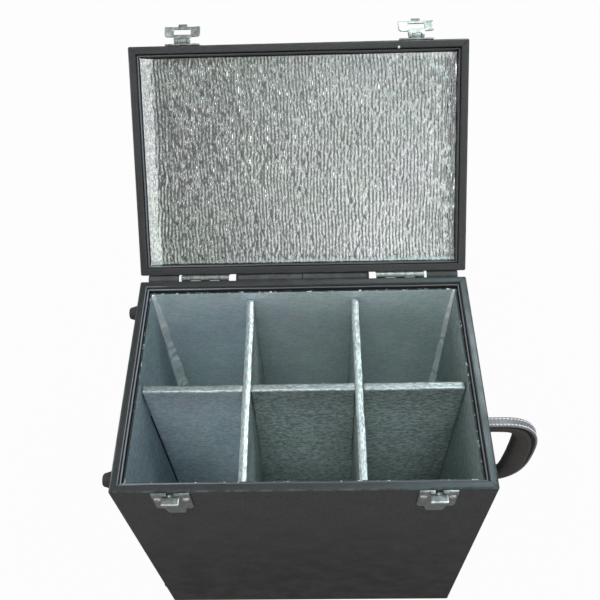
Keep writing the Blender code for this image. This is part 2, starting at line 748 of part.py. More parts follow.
def handle(leather, metal):
    """Stitched strap, core and padded grip in layers, with an eye at each end of the core."""
    route = handle_route()
    strap = swept("handle_strap", route, lambda swell: flat_section(STRAP_WIDTH / 2, 0, STRAP), leather)
    soften(strap, SHEET_EDGE)
    grip = smooth(swept("handle_grip", route, grip_section, leather))

    near = STRAP + FIT
    core_route = list(route)
    pin_x = HANDLE_AXIS.x
    for index, (place, inward, swell) in ((0, route[0]), (-1, route[-1])):
        core_route[index] = (Vector((pin_x, 0, place.z)), inward, swell)
    core = swept("handle_core", core_route, lambda swell: flat_section(CORE_WIDTH / 2, near, near + CORE), metal)
    eyes, bores = [], []
    for sign in (1, -1):
        level = HANDLE_CENTRE + sign * core_level()
        low = Vector((pin_x, 0, level - EYE_HEIGHT / 2))
        high = Vector((pin_x, 0, level + EYE_HEIGHT / 2))
        over = Vector((0, 0, OVERRUN))
        eyes.append(rod("eye", EYE_RADIUS, low, high, Matrix.Identity(4), metal))
        bores.append(rod("bore", HANDLE_PIN + FIT, low - over, high + over, Matrix.Identity(4), metal))
    combine(core, eyes, "UNION")
    smooth(combine(core, bores, "DIFFERENCE"))
    return [strap, grip, core]


def core_level():
    """Height of the middle of the core's arms above the handle's centre."""
    return HANDLE_HALF_HEIGHT - STRAP - FIT - CORE / 2


def handle_bracket(name, level, metal):
    """A wall plate with two ears round one end of the handle."""
    wall = HALF_WIDTH + FIT
    plate_front = wall + BRACKET_PLATE
    half_y = BRACKET_WIDTH / 2
    half_z = BRACKET_HEIGHT / 2
    outline = [(y, level + z) for y, z in rounded_rectangle(half_y, half_z, BRACKET_CORNER)]
    plate = prism(name, outline, "X", wall, plate_front, metal)
    ears, bores = [], []
    inner = EYE_HEIGHT / 2 + EAR_FIT
    for low in (level + inner, level - inner - EAR):
        tip = Vector((HANDLE_AXIS.x, 0, low))
        corner = (wall + BRACKET_PLATE / 2, -EAR_HALF_WIDTH, low)
        ears.append(block("ear", corner, (HANDLE_AXIS.x, EAR_HALF_WIDTH, low + EAR), metal))
        ears.append(rod("ear tip", EAR_HALF_WIDTH, tip, tip + Vector((0, 0, EAR)), Matrix.Identity(4), metal))
    reach = Vector((0, 0, inner + EAR + OVERRUN))
    middle = Vector((HANDLE_AXIS.x, 0, level))
    bores.append(rod("bore", HANDLE_PIN + FIT, middle - reach, middle + reach, Matrix.Identity(4), metal))
    combine(plate, ears, "UNION")
    return smooth(combine(plate, bores, "DIFFERENCE"))


def handle_pin(name, level, metal):
    """A headed pin through both ears and the eye between them."""
    reach = EYE_HEIGHT / 2 + EAR_FIT + EAR + FIT
    profile = (
        (HANDLE_PIN_HEAD - SHEET_EDGE, -reach - HANDLE_PIN_CAP), (HANDLE_PIN_HEAD, -reach - HANDLE_PIN_CAP + SHEET_EDGE),
        (HANDLE_PIN_HEAD, -reach), (HANDLE_PIN, -reach), (HANDLE_PIN, reach), (HANDLE_PIN_HEAD, reach),
        (HANDLE_PIN_HEAD, reach + HANDLE_PIN_CAP - SHEET_EDGE), (HANDLE_PIN_HEAD - SHEET_EDGE, reach + HANDLE_PIN_CAP),
    )
    place = Matrix.Translation(Vector((HANDLE_AXIS.x, 0, level)))
    return smooth(turned(name, profile, place, metal))


def side_foot(name, y, z, rubber):
    """A tapered foot with a screw hole, standing out of the left wall."""
    profile = (
        (FOOT_BASE, 0), (FOOT_BASE, FOOT_EDGE), (FOOT_TIP + FOOT_EDGE, FOOT_HEIGHT - FOOT_EDGE),
        (FOOT_TIP, FOOT_HEIGHT), (FOOT_HOLE, FOOT_HEIGHT), (FOOT_HOLE, FOOT_HEIGHT - FOOT_HOLE_DEPTH),
    )
    place = Matrix.Translation(Vector((-HALF_WIDTH - FIT, y, z))) @ ALONG_MINUS_X
    return smooth(turned(name, profile, place, rubber))


def build():
    for old in list(bpy.data.objects):
        bpy.data.objects.remove(old)
    leather = finish("dark leather", (0.035, 0.033, 0.032), 0.45, 0)
    board = finish("fibre board", (0.42, 0.30, 0.19), 0.85, 0)
    foil = finish("foil-faced foam", (0.55, 0.58, 0.58), 0.35, 0.8)
    metal = finish("nickel plate", (0.62, 0.62, 0.60), 0.3, 1)
    rubber = finish("black rubber", (0.02, 0.02, 0.02), 0.7, 0)

    body_shell(leather, board)
    inner_lip("body_lip", LIP_TOP, LIP_BOTTOM, leather)
    body_lining(foil)
    dividers(foil)

    lid_pieces = lid_shell(leather, board)
    lid_pieces.append(inner_lip("lid_lip", LID_CEILING - FIT, LID_RIM + LIP_DROP, leather))
    lid_pieces.append(lid_pad(foil))
    lid_pivot = pivot("lid_pivot", HINGE_AXIS)
    lid_pivot.rotation_euler.x = -LID_OPENING

    for side, sign in SIDES.items():
        lid_pieces.append(hinge(f"{side}_hinge", sign * HINGE_SPACING_SHARE * CASE_WIDTH / 2, metal))
        centre = LATCH_X[side]
        keeper(f"{side}_keeper", centre, metal)
        for place, step in SIDES.items():
            keeper_screw(f"{side}_keeper_{place}_screw", centre + step * SCREW_SPACING / 2, metal)
        lid_pieces.append(lid_plate(f"{side}_lid_plate", centre, metal))
        lid_pieces.append(hasp_pin(f"{side}_hasp_pin", centre, metal))
        axis = Vector((centre, HASP_AXIS_Y, HASP_AXIS_Z))
        hasp_pivot = pivot(f"{side}_hasp_pivot", axis, lid_pivot, HINGE_AXIS)
        hasp_pivot.rotation_euler.x = -HASP_OPENING
        hang([hasp(f"{side}_hasp", centre, metal)], hasp_pivot, axis)
    hang(lid_pieces, lid_pivot, HINGE_AXIS)

    hang(handle(leather, metal), pivot("handle_pivot", HANDLE_AXIS), HANDLE_AXIS)
    for place, sign in (("upper", 1), ("lower", -1)):
        level = HANDLE_CENTRE + sign * core_level()
        handle_bracket(f"{place}_handle_bracket", level, metal)
        handle_pin(f"{place}_handle_pin", level, metal)
        z = FOOT_FROM_END if sign < 0 else BODY_HEIGHT - FOOT_FROM_END
        side_foot(f"{place}_front_foot", FOOT_FROM_FRONT - HALF_DEPTH, z, rubber)
        side_foot(f"{place}_back_foot", HALF_DEPTH - FOOT_FROM_BACK, z, rubber)


build()
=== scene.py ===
import math

import bmesh
import bpy
from mathutils import Matrix, Vector, noise


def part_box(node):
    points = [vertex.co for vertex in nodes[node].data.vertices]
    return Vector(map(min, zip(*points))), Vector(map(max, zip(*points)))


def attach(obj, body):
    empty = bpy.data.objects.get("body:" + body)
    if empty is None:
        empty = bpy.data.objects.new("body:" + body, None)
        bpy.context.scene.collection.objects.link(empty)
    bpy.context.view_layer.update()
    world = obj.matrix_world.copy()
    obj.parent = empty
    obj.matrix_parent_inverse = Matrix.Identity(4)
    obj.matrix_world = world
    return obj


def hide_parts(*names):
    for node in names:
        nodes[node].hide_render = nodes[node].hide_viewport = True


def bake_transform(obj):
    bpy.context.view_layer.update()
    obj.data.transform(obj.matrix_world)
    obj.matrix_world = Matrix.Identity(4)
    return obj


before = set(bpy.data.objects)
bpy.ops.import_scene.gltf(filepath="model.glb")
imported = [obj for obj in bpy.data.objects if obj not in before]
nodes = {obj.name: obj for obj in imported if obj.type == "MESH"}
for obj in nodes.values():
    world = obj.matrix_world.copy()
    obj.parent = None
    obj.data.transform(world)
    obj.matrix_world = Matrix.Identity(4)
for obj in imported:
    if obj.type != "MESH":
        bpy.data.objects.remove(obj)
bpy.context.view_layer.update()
# The noise starts from the clock unless it is given a seed.
noise.seed_set(4)

# Studio
# A white floor in a white surround. A bright patch overhead and a weak glow in front light dull
# surfaces, glossy ones mirror a painted room, and two soft lamps stand behind and on the left.
CAMERA_PLACE = (0.014611, -0.322750, 0.869233)
CAMERA_TURN = (0.6257299, 0.0296856, 0.0007967)
SKY_PATCH = Vector((-0.04, -0.25, 0.97)).normalized()
FLOOR_SIZE = 14

scene = bpy.context.scene
scene.view_settings.view_transform = "Standard"
camera = bpy.data.objects.new("camera", bpy.data.cameras.new("camera"))
scene.collection.objects.link(camera)
camera.location = CAMERA_PLACE
camera.rotation_euler = CAMERA_TURN
camera.data.lens = 45.47033
camera.data.sensor_width = 36
camera.data.clip_start = 0.01
scene.camera = camera


def feed(tree, socket, value):
    """Links a shader value to an input, or writes a plain one into it."""
    if isinstance(value, Value):
        tree.links.new(value.socket, socket)
    elif socket.type == "RGBA":
        socket.default_value = (*value, 1)
    else:
        socket.default_value = value


def put(tree, kind, inputs=None, **settings):
    """Adds a shader node, with its settings and then its inputs by name or number."""
    node = tree.nodes.new("ShaderNode" + kind)
    for name, value in settings.items():
        setattr(node, name, value)
    for name, value in (inputs or {}).items():
        feed(tree, node.inputs[name], value)
    return node


def read(tree, kind, output=0, inputs=None, **settings):
    """Adds a shader node and gives one of its outputs."""
    return Value(tree, put(tree, kind, inputs, **settings), output)


class Value:
    """A shader value, place or colour. Sums written with it add nodes to its tree."""

    def __init__(self, tree, node, output=0):
        self.tree = tree
        self.socket = node.outputs[output]

    def maths(self, operation, first, last=0.0):
        """A sum of one or two values."""
        return read(self.tree, "Math", 0, {0: first, 1: last}, operation=operation)

    def __add__(self, other):
        return self.maths("ADD", self, other)

    def __sub__(self, other):
        return self.maths("SUBTRACT", self, other)

    def __rsub__(self, other):
        return self.maths("SUBTRACT", other, self)

    def __mul__(self, other):
        return self.maths("MULTIPLY", self, other)

    def __abs__(self):
        return self.maths("ABSOLUTE", self)

    def least(self, other):
        return self.maths("MINIMUM", self, other)

    def most(self, other):
        return self.maths("MAXIMUM", self, other)

    def fade(self, start, end, first=0.0, last=1.0):
        """A smooth step from one figure to another."""
        ends = {"From Min": start, "From Max": end, "To Min": first, "To Max": last}
        return read(self.tree, "MapRange", "Result", {"Value": self, **ends}, interpolation_type="SMOOTHSTEP")

    def dyed(self, factor, first, last, mode):
        """Two colours mixed, or multiplied, by a factor."""
        ends = {0: factor, 6: first, 7: last}
        return read(self.tree, "Mix", 2, ends, data_type="RGBA", blend_type=mode)

    def between(self, first, last):
        """The colour that lies as far between two others as the value says."""
        return self.dyed(self, first, last, "MIX")

    def tinted(self, colour):
        """This colour multiplied by another."""
        return self.dyed(1.0, self, colour, "MULTIPLY")

    def grey(self):
        """The grey of this value."""
        return read(self.tree, "CombineColor", 0, {"Red": self, "Green": self, "Blue": self})

    def axes(self):
        """The three figures of a place."""
        node = put(self.tree, "SeparateXYZ", {"Vector": self})
        return [Value(self.tree, node, axis) for axis in "XYZ"]

    def stretched(self, amount):
        """A place scaled along its three axes."""
        return read(self.tree, "VectorMath", 0, {0: self, 1: amount}, operation="MULTIPLY")

    def spot(self, scale, detail=2.0, rough=0.5, warp=0.0):
        """Noise over a place, at a number of grains to the metre."""
        look = {"Scale": scale, "Detail": detail, "Roughness": rough, "Distortion": warp}
        return read(self.tree, "TexNoise", "Fac", {"Vector": self, **look})


def cleared_tree(owner):
    """The shader tree of a world or a material, emptied."""
    owner.use_nodes = True
    owner.node_tree.nodes.clear()
    return owner.node_tree


def rays(tree):
    """Whether the camera, a gloss or something clear is looking."""
    path = put(tree, "LightPath")
    return [Value(tree, path, f"Is {kind} Ray") for kind in ("Camera", "Glossy", "Transmission")]


def light(tree, colour, strength):
    """The even light of a stretch of the surround."""
    return read(tree, "Background", 0, {"Color": colour, "Strength": strength})


def either(tree, share, first, last):
    """One shader going over into another."""
    return read(tree, "MixShader", 0, {"Fac": share, 1: first, 2: last})


scene.world = bpy.data.worlds.new("surround")
tree = cleared_tree(scene.world)
heading = read(tree, "TexCoord", "Generated")
x, y, z = heading.axes()
turned = y.fade(-0.25, -0.50)
behind = z.fade(0.15, 0.75, 0.62, 0.34) + z.fade(0.80, 0.96, 0.0, 0.35)
behind = behind * x.fade(-0.22, 0.32, 0.50, 1.40)
in_front = x.fade(-0.34, 0.28, 0.03, 0.98) * z.fade(0.85, 0.50, 0.85, 1.10)
in_front = in_front.most(z.fade(0.30, 0.10, 0.0, 0.75))
left_wall = x.fade(-0.30, -0.55, 0.0, 0.25)
room = behind * (1 - turned) + in_front * turned + left_wall
cool_window = z.fade(0.76, 0.90) * x.fade(-0.05, 0.25) * (1 - turned)
skylight = read(tree, "VectorMath", "Value", {0: heading, 1: SKY_PATCH}, operation="DOT_PRODUCT")
from_above = skylight.fade(0.93, 0.985, 0.28, 7.6)
from_front = y.fade(-0.55, -0.85, 0.0, 1.15) * z.fade(0.45, 0.25)
plain = light(tree, (0.94, 0.98, 1.0), from_above + from_front)
mirrored = light(tree, cool_window.between((0.97, 0.99, 1.0), (0.45, 1.0, 1.08)), room)
white = light(tree, (1, 1, 1), 1.0)
seen, glossy, through = rays(tree)
lit = either(tree, glossy, plain, mirrored)
put(tree, "OutputWorld", {"Surface": either(tree, seen.most(through), lit, white)})


def added(primitive, name, scale=(1, 1, 1), **given):
    """Adds a primitive under a name, with its place and size written into its points."""
    bpy.ops.object.select_all(action="DESELECT")
    primitive(**given)
    piece = bpy.context.object
    piece.name = name
    piece.scale = scale
    bpy.ops.object.transform_apply(location=True, rotation=True, scale=True)
    return piece


floor = added(bpy.ops.mesh.primitive_plane_add, "floor", size=FLOOR_SIZE)
paper = bpy.data.materials.new("floor paper")
tree = cleared_tree(paper)
place = read(tree, "TexCoord", "Object")
speck = read(tree, "TexNoise", "Fac", {"Vector": place, "Scale": 9.0, "Detail": 3.0})
reach = read(tree, "VectorMath", "Value", {0: place}, operation="LENGTH")
# Painted shade: the floor is darker near the case in the light it throws back.
shaded_near_tone = speck.between((0.06, 0.06, 0.06), (0.08, 0.08, 0.08))
far_tone = speck.between((0.28, 0.28, 0.28), (0.32, 0.32, 0.32))
matt = read(tree, "BsdfDiffuse", 0, {"Color": reach.fade(0.25, 1.20).between(shaded_near_tone, far_tone)})
glow = read(tree, "Emission", 0, {"Color": (1, 1, 1), "Strength": 1.0})
seen, glossy, through = rays(tree)
# Painted shade: glossy surfaces see the floor dimmer near the case.
in_gloss = glossy.most(through) * reach.fade(0.30, 1.60, 0.34, 0.80)
share = (seen * 0.975).most(in_gloss)
put(tree, "OutputMaterial", {"Surface": either(tree, share, matt, glow)})
floor.data.materials.append(paper)


def lamp(name, place, target, width, power, colour):
    """A square soft box that faces a point."""
    box = bpy.data.lights.new(name, "AREA")
    box.shape = "SQUARE"
    box.size = width
    box.energy = power
    box.color = colour
    stand = bpy.data.objects.new(name, box)
    stand.location = place
    stand.rotation_euler = (Vector(target) - Vector(place)).to_track_quat("-Z", "Y").to_euler()
    scene.collection.objects.link(stand)


lamp("back_window", (0.72, 0.80, 1.80), (0.1, 0, 0.3), 0.6, 16, (0.90, 0.98, 1.0))
lamp("left_window", (-1.35, 0.15, 0.80), (0, 0.05, 0.36), 0.7, 5, (1.0, 0.96, 1.0))

# Leather of the case
# Coated split leather with a fine pebble. It is glued over the boards, folded over the rim
# and turned in, with a mitred fold at each rim corner and a light rub along the edges.
HALF_WIDTH = 0.150
HALF_DEPTH = 0.102
BODY_LOW = 0.0015
BODY_HIGH = 0.315
LID_LOW = 0.3156
LID_HIGH = 0.3556
RIM = 0.0066
TURN_IN = 0.022
TURN_UNDER = 0.016
SKIN = 0.0008
OUTER_ROUND = 0.0016
INNER_ROUND = 0.0007
LID_AXIS = Vector((0, 0.1047, 0.3153))
LID_TURN = math.radians(134)
RESULTS = {"Colour": "Color", "Roughness": "Float", "Height": "Float"}


def turned_at(axis, angle):
    """A turn by an angle about a line along X."""
    return Matrix.Translation(axis) @ Matrix.Rotation(angle, 4, "X") @ Matrix.Translation(-axis)


OPEN = turned_at(LID_AXIS, -LID_TURN)


def shader_group(name, recipe, **inputs):
    """A shader group whose recipe makes a colour, a roughness and a height from its inputs."""
    tree = bpy.data.node_groups.new(name, "ShaderNodeTree")
    inputs = {"Place": Vector(), **inputs}
    for label, value in inputs.items():
        kind = "Vector" if isinstance(value, Vector) else "Float" if isinstance(value, float) else "Color"
        socket = tree.interface.new_socket(label, in_out="INPUT", socket_type="NodeSocket" + kind)
        socket.default_value = (*value, 1) if kind == "Color" else value
    for label, kind in RESULTS.items():
        tree.interface.new_socket(label, in_out="OUTPUT", socket_type="NodeSocket" + kind)
    start = tree.nodes.new("NodeGroupInput")
    end = tree.nodes.new("NodeGroupOutput")
    made = recipe({label: Value(tree, start, label) for label in inputs})
    for label, value in zip(RESULTS, made):
        feed(tree, end.inputs[label], value)
    return tree


def leather(given):
    """Pebble, folds at the rim corners, worn edges and painted highlights along lip and rim edges, read in
    the frame of the shut case.
    """
    place = given["Place"]
    x, y, z = place.axes()
    from_side = HALF_WIDTH - abs(x)
    from_front = HALF_DEPTH - abs(y)
    from_end = (z - given["Low"]).least(given["High"] - z)
    lesser = from_side.least(from_front)
    greater = from_side.most(from_front)
    from_edge = lesser.most(greater.least(from_end))
    edge = from_edge.fade(0.0022, 0.0002) * place.spot(70.0, 4.0, 0.65).fade(0.42, 0.62)
    # Painted highlight: a light line along the free edge of a lip, stronger on the left, and one along the
    # inner edge of the rim on the left only. Both share the light colour of the worn edges.
    left_highlight_boost = x.fade(-0.145, -0.02, 2.6, 1.0)
    tip_highlight = from_end.fade(0.0010, 0.0003) * (left_highlight_boost * given["Tip"])
    crest_highlight = abs(lesser - (RIM - 0.0002)).fade(0.0007, 0.0003) * given["Crest"]
    rub_and_highlight = edge * given["Wear"] + (tip_highlight + crest_highlight * x.fade(-0.135, -0.12, 1.0, 0.0))

    at_rim = abs(z - given["Rim"]).fade(0.0009, 0.0005) * greater.fade(0.0075, 0.0068)
    mitre = abs(from_side - from_front).fade(0.0006, 0.0001) * at_rim
    on_back = y.fade(HALF_DEPTH - 0.0006, HALF_DEPTH - 0.0003)
    fold = mitre.most(abs(x - given["Seam"]).fade(0.0007, 0.0002) * on_back)

    grain = {"Vector": place, "Scale": given["Pebble"], "Randomness": 1.0}
    pebble = read(place.tree, "TexVoronoi", "Distance", grain, feature="SMOOTH_F1").fade(0.15, 0.75)
    height = place.spot(2600.0) * 0.35 - pebble * 0.65 + place.spot(9.0, 1.0) * 2.2 - fold * 3.0

    tone = place.spot(18.0, 5.0, 0.6).between(given["Dark"], given["Light"])
    tone = (pebble * 0.35).between(tone, (0.006, 0.006, 0.006))
    tone = rub_and_highlight.least(1.0).between(tone, given["Worn"])
    tone = (fold * 0.8).between(tone, (0.004, 0.004, 0.004))
    rough = place.spot(40.0, 4.0, 0.6).fade(0.3, 0.7, 0.40, 0.52) - (given["Polish"] + edge * 0.08)
    return tone, rough, height


def surface(name, group, inputs, bump, depth, opened=False, gloss=0.5, metal=0.0):
    """A Principled material fed by a group, whose inputs are values or are made from the place."""
    material = bpy.data.materials.new(name)
    material.use_nodes = True
    tree = material.node_tree
    place = read(tree, "TexCoord", "Object")
    if opened:
        shift = LID_AXIS - Matrix.Rotation(LID_TURN, 3, "X") @ LID_AXIS
        place = read(tree, "Mapping", 0, {"Vector": place, "Location": shift, "Rotation": (LID_TURN, 0, 0)})
    inputs = {label: value(place) if callable(value) else value for label, value in inputs.items()}
    used = put(tree, "Group", {"Place": place, **inputs}, node_tree=group)
    colour, rough, height = (Value(tree, used, label) for label in RESULTS)
    normal = read(tree, "Bump", "Normal", {"Strength": bump, "Distance": depth, "Height": height})
    skin = {"Base Color": colour, "Roughness": rough, "Normal": normal, "Metallic": metal}
    for label, value in {**skin, "Specular IOR Level": gloss}.items():
        feed(tree, tree.nodes["Principled BSDF"].inputs[label], value)
    return material


def changing(axis, start, end, first, last):
    """A colour that goes over into another along one axis."""
    return lambda place: place.axes()["XYZ".index(axis)].fade(start, end).between(first, last)


LEATHER = shader_group(
    "leather grain", leather, Pebble=950.0, Low=BODY_LOW, High=BODY_HIGH, Rim=BODY_HIGH,
    Dark=(0.020, 0.020, 0.020), Light=(0.04, 0.04, 0.04), Worn=(0.11, 0.11, 0.11), Wear=0.5,
    Tip=0.0, Seam=9.0, Polish=0.0, Crest=0.0,
)
# Painted shade: the case leather is darker towards the bottom and lighter towards the top.
body_tones = {
    "Dark": changing("Z", 0.02, 0.30, (0.030, 0.031, 0.028), (0.066, 0.068, 0.065)),
    "Light": changing("Z", 0.02, 0.30, (0.040, 0.039, 0.035), (0.082, 0.079, 0.076)),
    "Worn": (0.100, 0.105, 0.110), "Seam": 0.0,
}
lid_tones = {
    **body_tones, "Dark": (0.056, 0.058, 0.055), "Light": (0.070, 0.067, 0.065),
    "Low": LID_LOW, "High": LID_HIGH, "Rim": LID_LOW,
}
# Painted reflection: the rim leather turns teal towards the right. The inner edge of the left rim carries a
# painted highlight.
rim_tones = {
    "Dark": changing("X", 0.02, 0.135, (0.025, 0.028, 0.028), (0.006, 0.022, 0.026)),
    "Light": changing("X", 0.02, 0.135, (0.034, 0.037, 0.037), (0.010, 0.030, 0.034)),
    "Worn": (0.16, 0.17, 0.19), "Seam": 0.0, "Polish": 0.10, "Crest": 0.9,
}
lid_rim_tones = {**lid_tones, "Dark": (0.033, 0.034, 0.034), "Light": (0.048, 0.048, 0.048), "Polish": 0.05}
body_skin = surface("case leather", LEATHER, body_tones, 0.5, 0.00016, gloss=0.04)
lid_skin = surface("lid leather", LEATHER, lid_tones, 0.5, 0.00016, True, gloss=0.04)
body_rim_skin = surface("rim leather", LEATHER, rim_tones, 0.4, 0.00014)
lid_rim_skin = surface("lid rim leather", LEATHER, lid_rim_tones, 0.4, 0.00014, True, gloss=0.4)


def open_mesh():
    """Goes into edit mode on the active piece."""
    bpy.ops.object.mode_set(mode="EDIT")


def close_mesh():
    """Leaves edit mode."""
    bpy.ops.object.mode_set(mode="OBJECT")


def start_block(name, low, high):
    """A block between two corners, in edit mode with nothing selected."""
    low, high = Vector(low), Vector(high)
    piece = added(bpy.ops.mesh.primitive_cube_add, name, high - low, size=1, location=(low + high) / 2)
    open_mesh()
    bpy.ops.mesh.select_all(action="DESELECT")
    return piece


def start_sheet(name, size, place, turn):
    """A flat sheet that faces along its turned Z, in edit mode."""
    piece = added(bpy.ops.mesh.primitive_plane_add, name, (*size, 1), size=1, location=place, rotation=turn)
    open_mesh()
    return piece


def start_rod(name, vertices, radius, length, place, turn=(0, math.pi / 2, 0)):
    """A rod along X, or a disc, in edit mode."""
    shape = {"vertices": vertices, "radius": radius, "depth": length, "location": place}
    piece = added(bpy.ops.mesh.primitive_cylinder_add, name, rotation=turn, **shape)
    open_mesh()
    return piece


def pick(kind, test):
    """Selects the verts, edges or faces of the piece in edit mode that pass a test."""
    bpy.ops.mesh.select_all(action="DESELECT")
    bpy.context.tool_settings.mesh_select_mode = (kind == "verts", kind == "edges", kind == "faces")
    mesh = bpy.context.object.data
    shape = bmesh.from_edit_mesh(mesh)
    for item in getattr(shape, kind):
        if test(item):
            item.select_set(True)
    shape.select_flush_mode()
    bmesh.update_edit_mesh(mesh)


def pick_all():
    """Selects the whole piece in edit mode."""
    bpy.ops.mesh.select_all(action="SELECT")


def centre_of(item):
    """The middle of an edge or a face."""
    return sum((corner.co for corner in item.verts), Vector()) / len(item.verts)


def facing(direction):
    """A test for faces that look one way."""
    return lambda face: face.normal.dot(Vector(direction)) > 0.9


def face_out():
    """Turns all faces outward."""
    pick_all()
    bpy.ops.mesh.normals_make_consistent(inside=False)


def bevel(offset, segments, affect="EDGES", profile=0.5):
    """Rounds what is selected."""
    bpy.ops.mesh.bevel(offset=offset, segments=segments, affect=affect, profile=profile)


def push_out(way):
    """Extrudes what is selected."""
    bpy.ops.mesh.extrude_region_move(TRANSFORM_OT_translate={"value": way})


def modify(piece, kind, **settings):
    """Adds a modifier to a piece, with its settings."""
    modifier = piece.modifiers.new(kind.lower(), kind)
    for name, value in settings.items():
        setattr(modifier, name, value)


def apply_all(piece):
    """Leaves edit mode and applies the modifiers of the active piece in order."""
    close_mesh()
    for modifier in list(piece.modifiers):
        bpy.ops.object.modifier_apply(modifier=modifier.name)


def roll_edges(piece, width, segments=3, angle=30):
    """Rounds the edges of a finished piece that are sharper than an angle."""
    sharp = {"limit_method": "ANGLE", "angle_limit": math.radians(angle)}
    modify(piece, "BEVEL", width=width, segments=segments, **sharp)
    apply_all(piece)


def take(*pieces):
    """Selects some pieces alone, the first of them active."""
    bpy.ops.object.select_all(action="DESELECT")
    for piece in pieces:
        piece.select_set(True)
    bpy.context.view_layer.objects.active = pieces[0]


def settle(piece, body, slot, material, *replaced, angle=35):
    """Gives a finished piece its shading, finish and body, and the nodes it stands for."""
    if piece.mode == "EDIT":
        close_mesh()
    piece.data.materials.clear()
    piece.data.materials.append(material)
    take(piece)
    bpy.ops.object.shade_smooth_by_angle(angle=math.radians(angle))
    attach(piece, body)
    if replaced:
        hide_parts(*replaced)


def second_finish(piece, material, test):
    """Gives another finish to the faces of a piece that pass a test."""
    piece.data.materials.append(material)
    for face in piece.data.polygons:
        if test(face):
            face.material_index = 1


def dress(material, *endings):
    """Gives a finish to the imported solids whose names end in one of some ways."""
    for name in nodes:
        if name.endswith(endings):
            for slot in nodes[name].material_slots:
                slot.material = material


def box_cover(name, low, high, rim_face, inward):
    """A leather skin: a block hollowed from its rim, open where the leather ends."""
    piece = start_block(name, (-HALF_WIDTH, -HALF_DEPTH, low), (HALF_WIDTH, HALF_DEPTH, high))
    pick("faces", facing((0, 0, rim_face)))
    bpy.ops.mesh.inset(thickness=RIM, depth=0)
    push_out((0, 0, inward))
    bpy.ops.mesh.delete(type="FACE")
    return piece


def corner_edge(x, y):
    """A test for edges that join the corners x, y of the case and have a face on both sides."""
    def passes(edge):
        ends = [corner.co for corner in edge.verts]
        return len(edge.link_faces) == 2 and all(
            abs(abs(end.x) - x) < 1e-5 and abs(abs(end.y) - y) < 1e-5 for end in ends)
    return passes


def round_cover(piece):
    """Rounds the corners of a cover and the turn of its rim, and gives it its thickness."""
    pick("edges", corner_edge(HALF_WIDTH, HALF_DEPTH))
    bevel(OUTER_ROUND, 5)
    pick("edges", corner_edge(HALF_WIDTH - RIM, HALF_DEPTH - RIM))
    bevel(INNER_ROUND, 3)
    modify(piece, "SOLIDIFY", thickness=SKIN, offset=-1, use_even_offset=True)
    apply_all(piece)


body_cover = box_cover("body_cover", BODY_LOW, BODY_HIGH, 1, -TURN_IN)
pick("faces", facing((0, 0, -1)))
bpy.ops.mesh.inset(thickness=TURN_UNDER, depth=0)
bpy.ops.mesh.delete(type="FACE")
round_cover(body_cover)
settle(body_cover, "body", "leather", body_skin, "body_leather")
second_finish(body_cover, body_rim_skin, lambda face: face.normal.z > 0.7)

lid_cover = box_cover("lid_cover", LID_LOW, LID_HIGH, -1, TURN_IN)
round_cover(lid_cover)
lid_cover.data.transform(OPEN)
settle(lid_cover, "lid", "leather", lid_skin, "lid_leather")
lid_rim_way = OPEN.to_3x3() @ Vector((0, 0, -1))
second_finish(lid_cover, lid_rim_skin, lambda face: face.normal.dot(lid_rim_way) > 0.7)

# Base panel
# A second sheet of the same leather, glued under the box over the turned edges.
dress(body_skin, "base_leather")

# Boards
# Grey-brown fibre board, seen only where a gap lets the eye in.


def fibre(given):
    """Pressed fibres that lie in the plane of the board."""
    fibres = given["Place"].stretched((1.0, 1.0, 0.35)).spot(900.0, 4.0, 0.7)
    tone = fibres.fade(0.3, 0.7).between((0.23, 0.17, 0.115), (0.42, 0.33, 0.23))
    return tone, fibres.fade(0.2, 0.8, 0.8, 0.95), fibres


dress(surface("fibre board", shader_group("fibre", fibre), {}, 0.4, 0.0002), "_board")

# Inner lips
# A thin strip of the same leather over card, standing inside each rim. Its edge is rounded, and
# a painted highlight along it, stronger on the left, shows as a fine light line.
LIP_FACE = 0.0072
LIP = 0.0013
LIP_ROUND = 0.00045
LIP_CUTS = 40
LIP_LEVELS = {"body_lip": (0.2885, 0.3125), "lid_lip": (0.3181, 0.3498)}
# The light colour of the lips feeds only the painted highlight along their free edge.
lip_tones = {"Dark": (0.010, 0.010, 0.011), "Light": (0.022, 0.021, 0.022), "Worn": (0.20, 0.21, 0.235)}
body_lip_tones = {**lip_tones, "Rim": 0.9, "Low": -1.0, "High": LIP_LEVELS["body_lip"][1], "Tip": 0.45}
lid_lip_tones = {**lip_tones, "Rim": 0.9, "Low": LIP_LEVELS["lid_lip"][0], "High": 1.0, "Tip": 0.3}
body_lip_skin = surface("lip leather", LEATHER, body_lip_tones, 0.4, 0.0001, gloss=0.4)
lid_lip_skin = surface("lid lip leather", LEATHER, lid_lip_tones, 0.4, 0.0001, True, gloss=0.4)


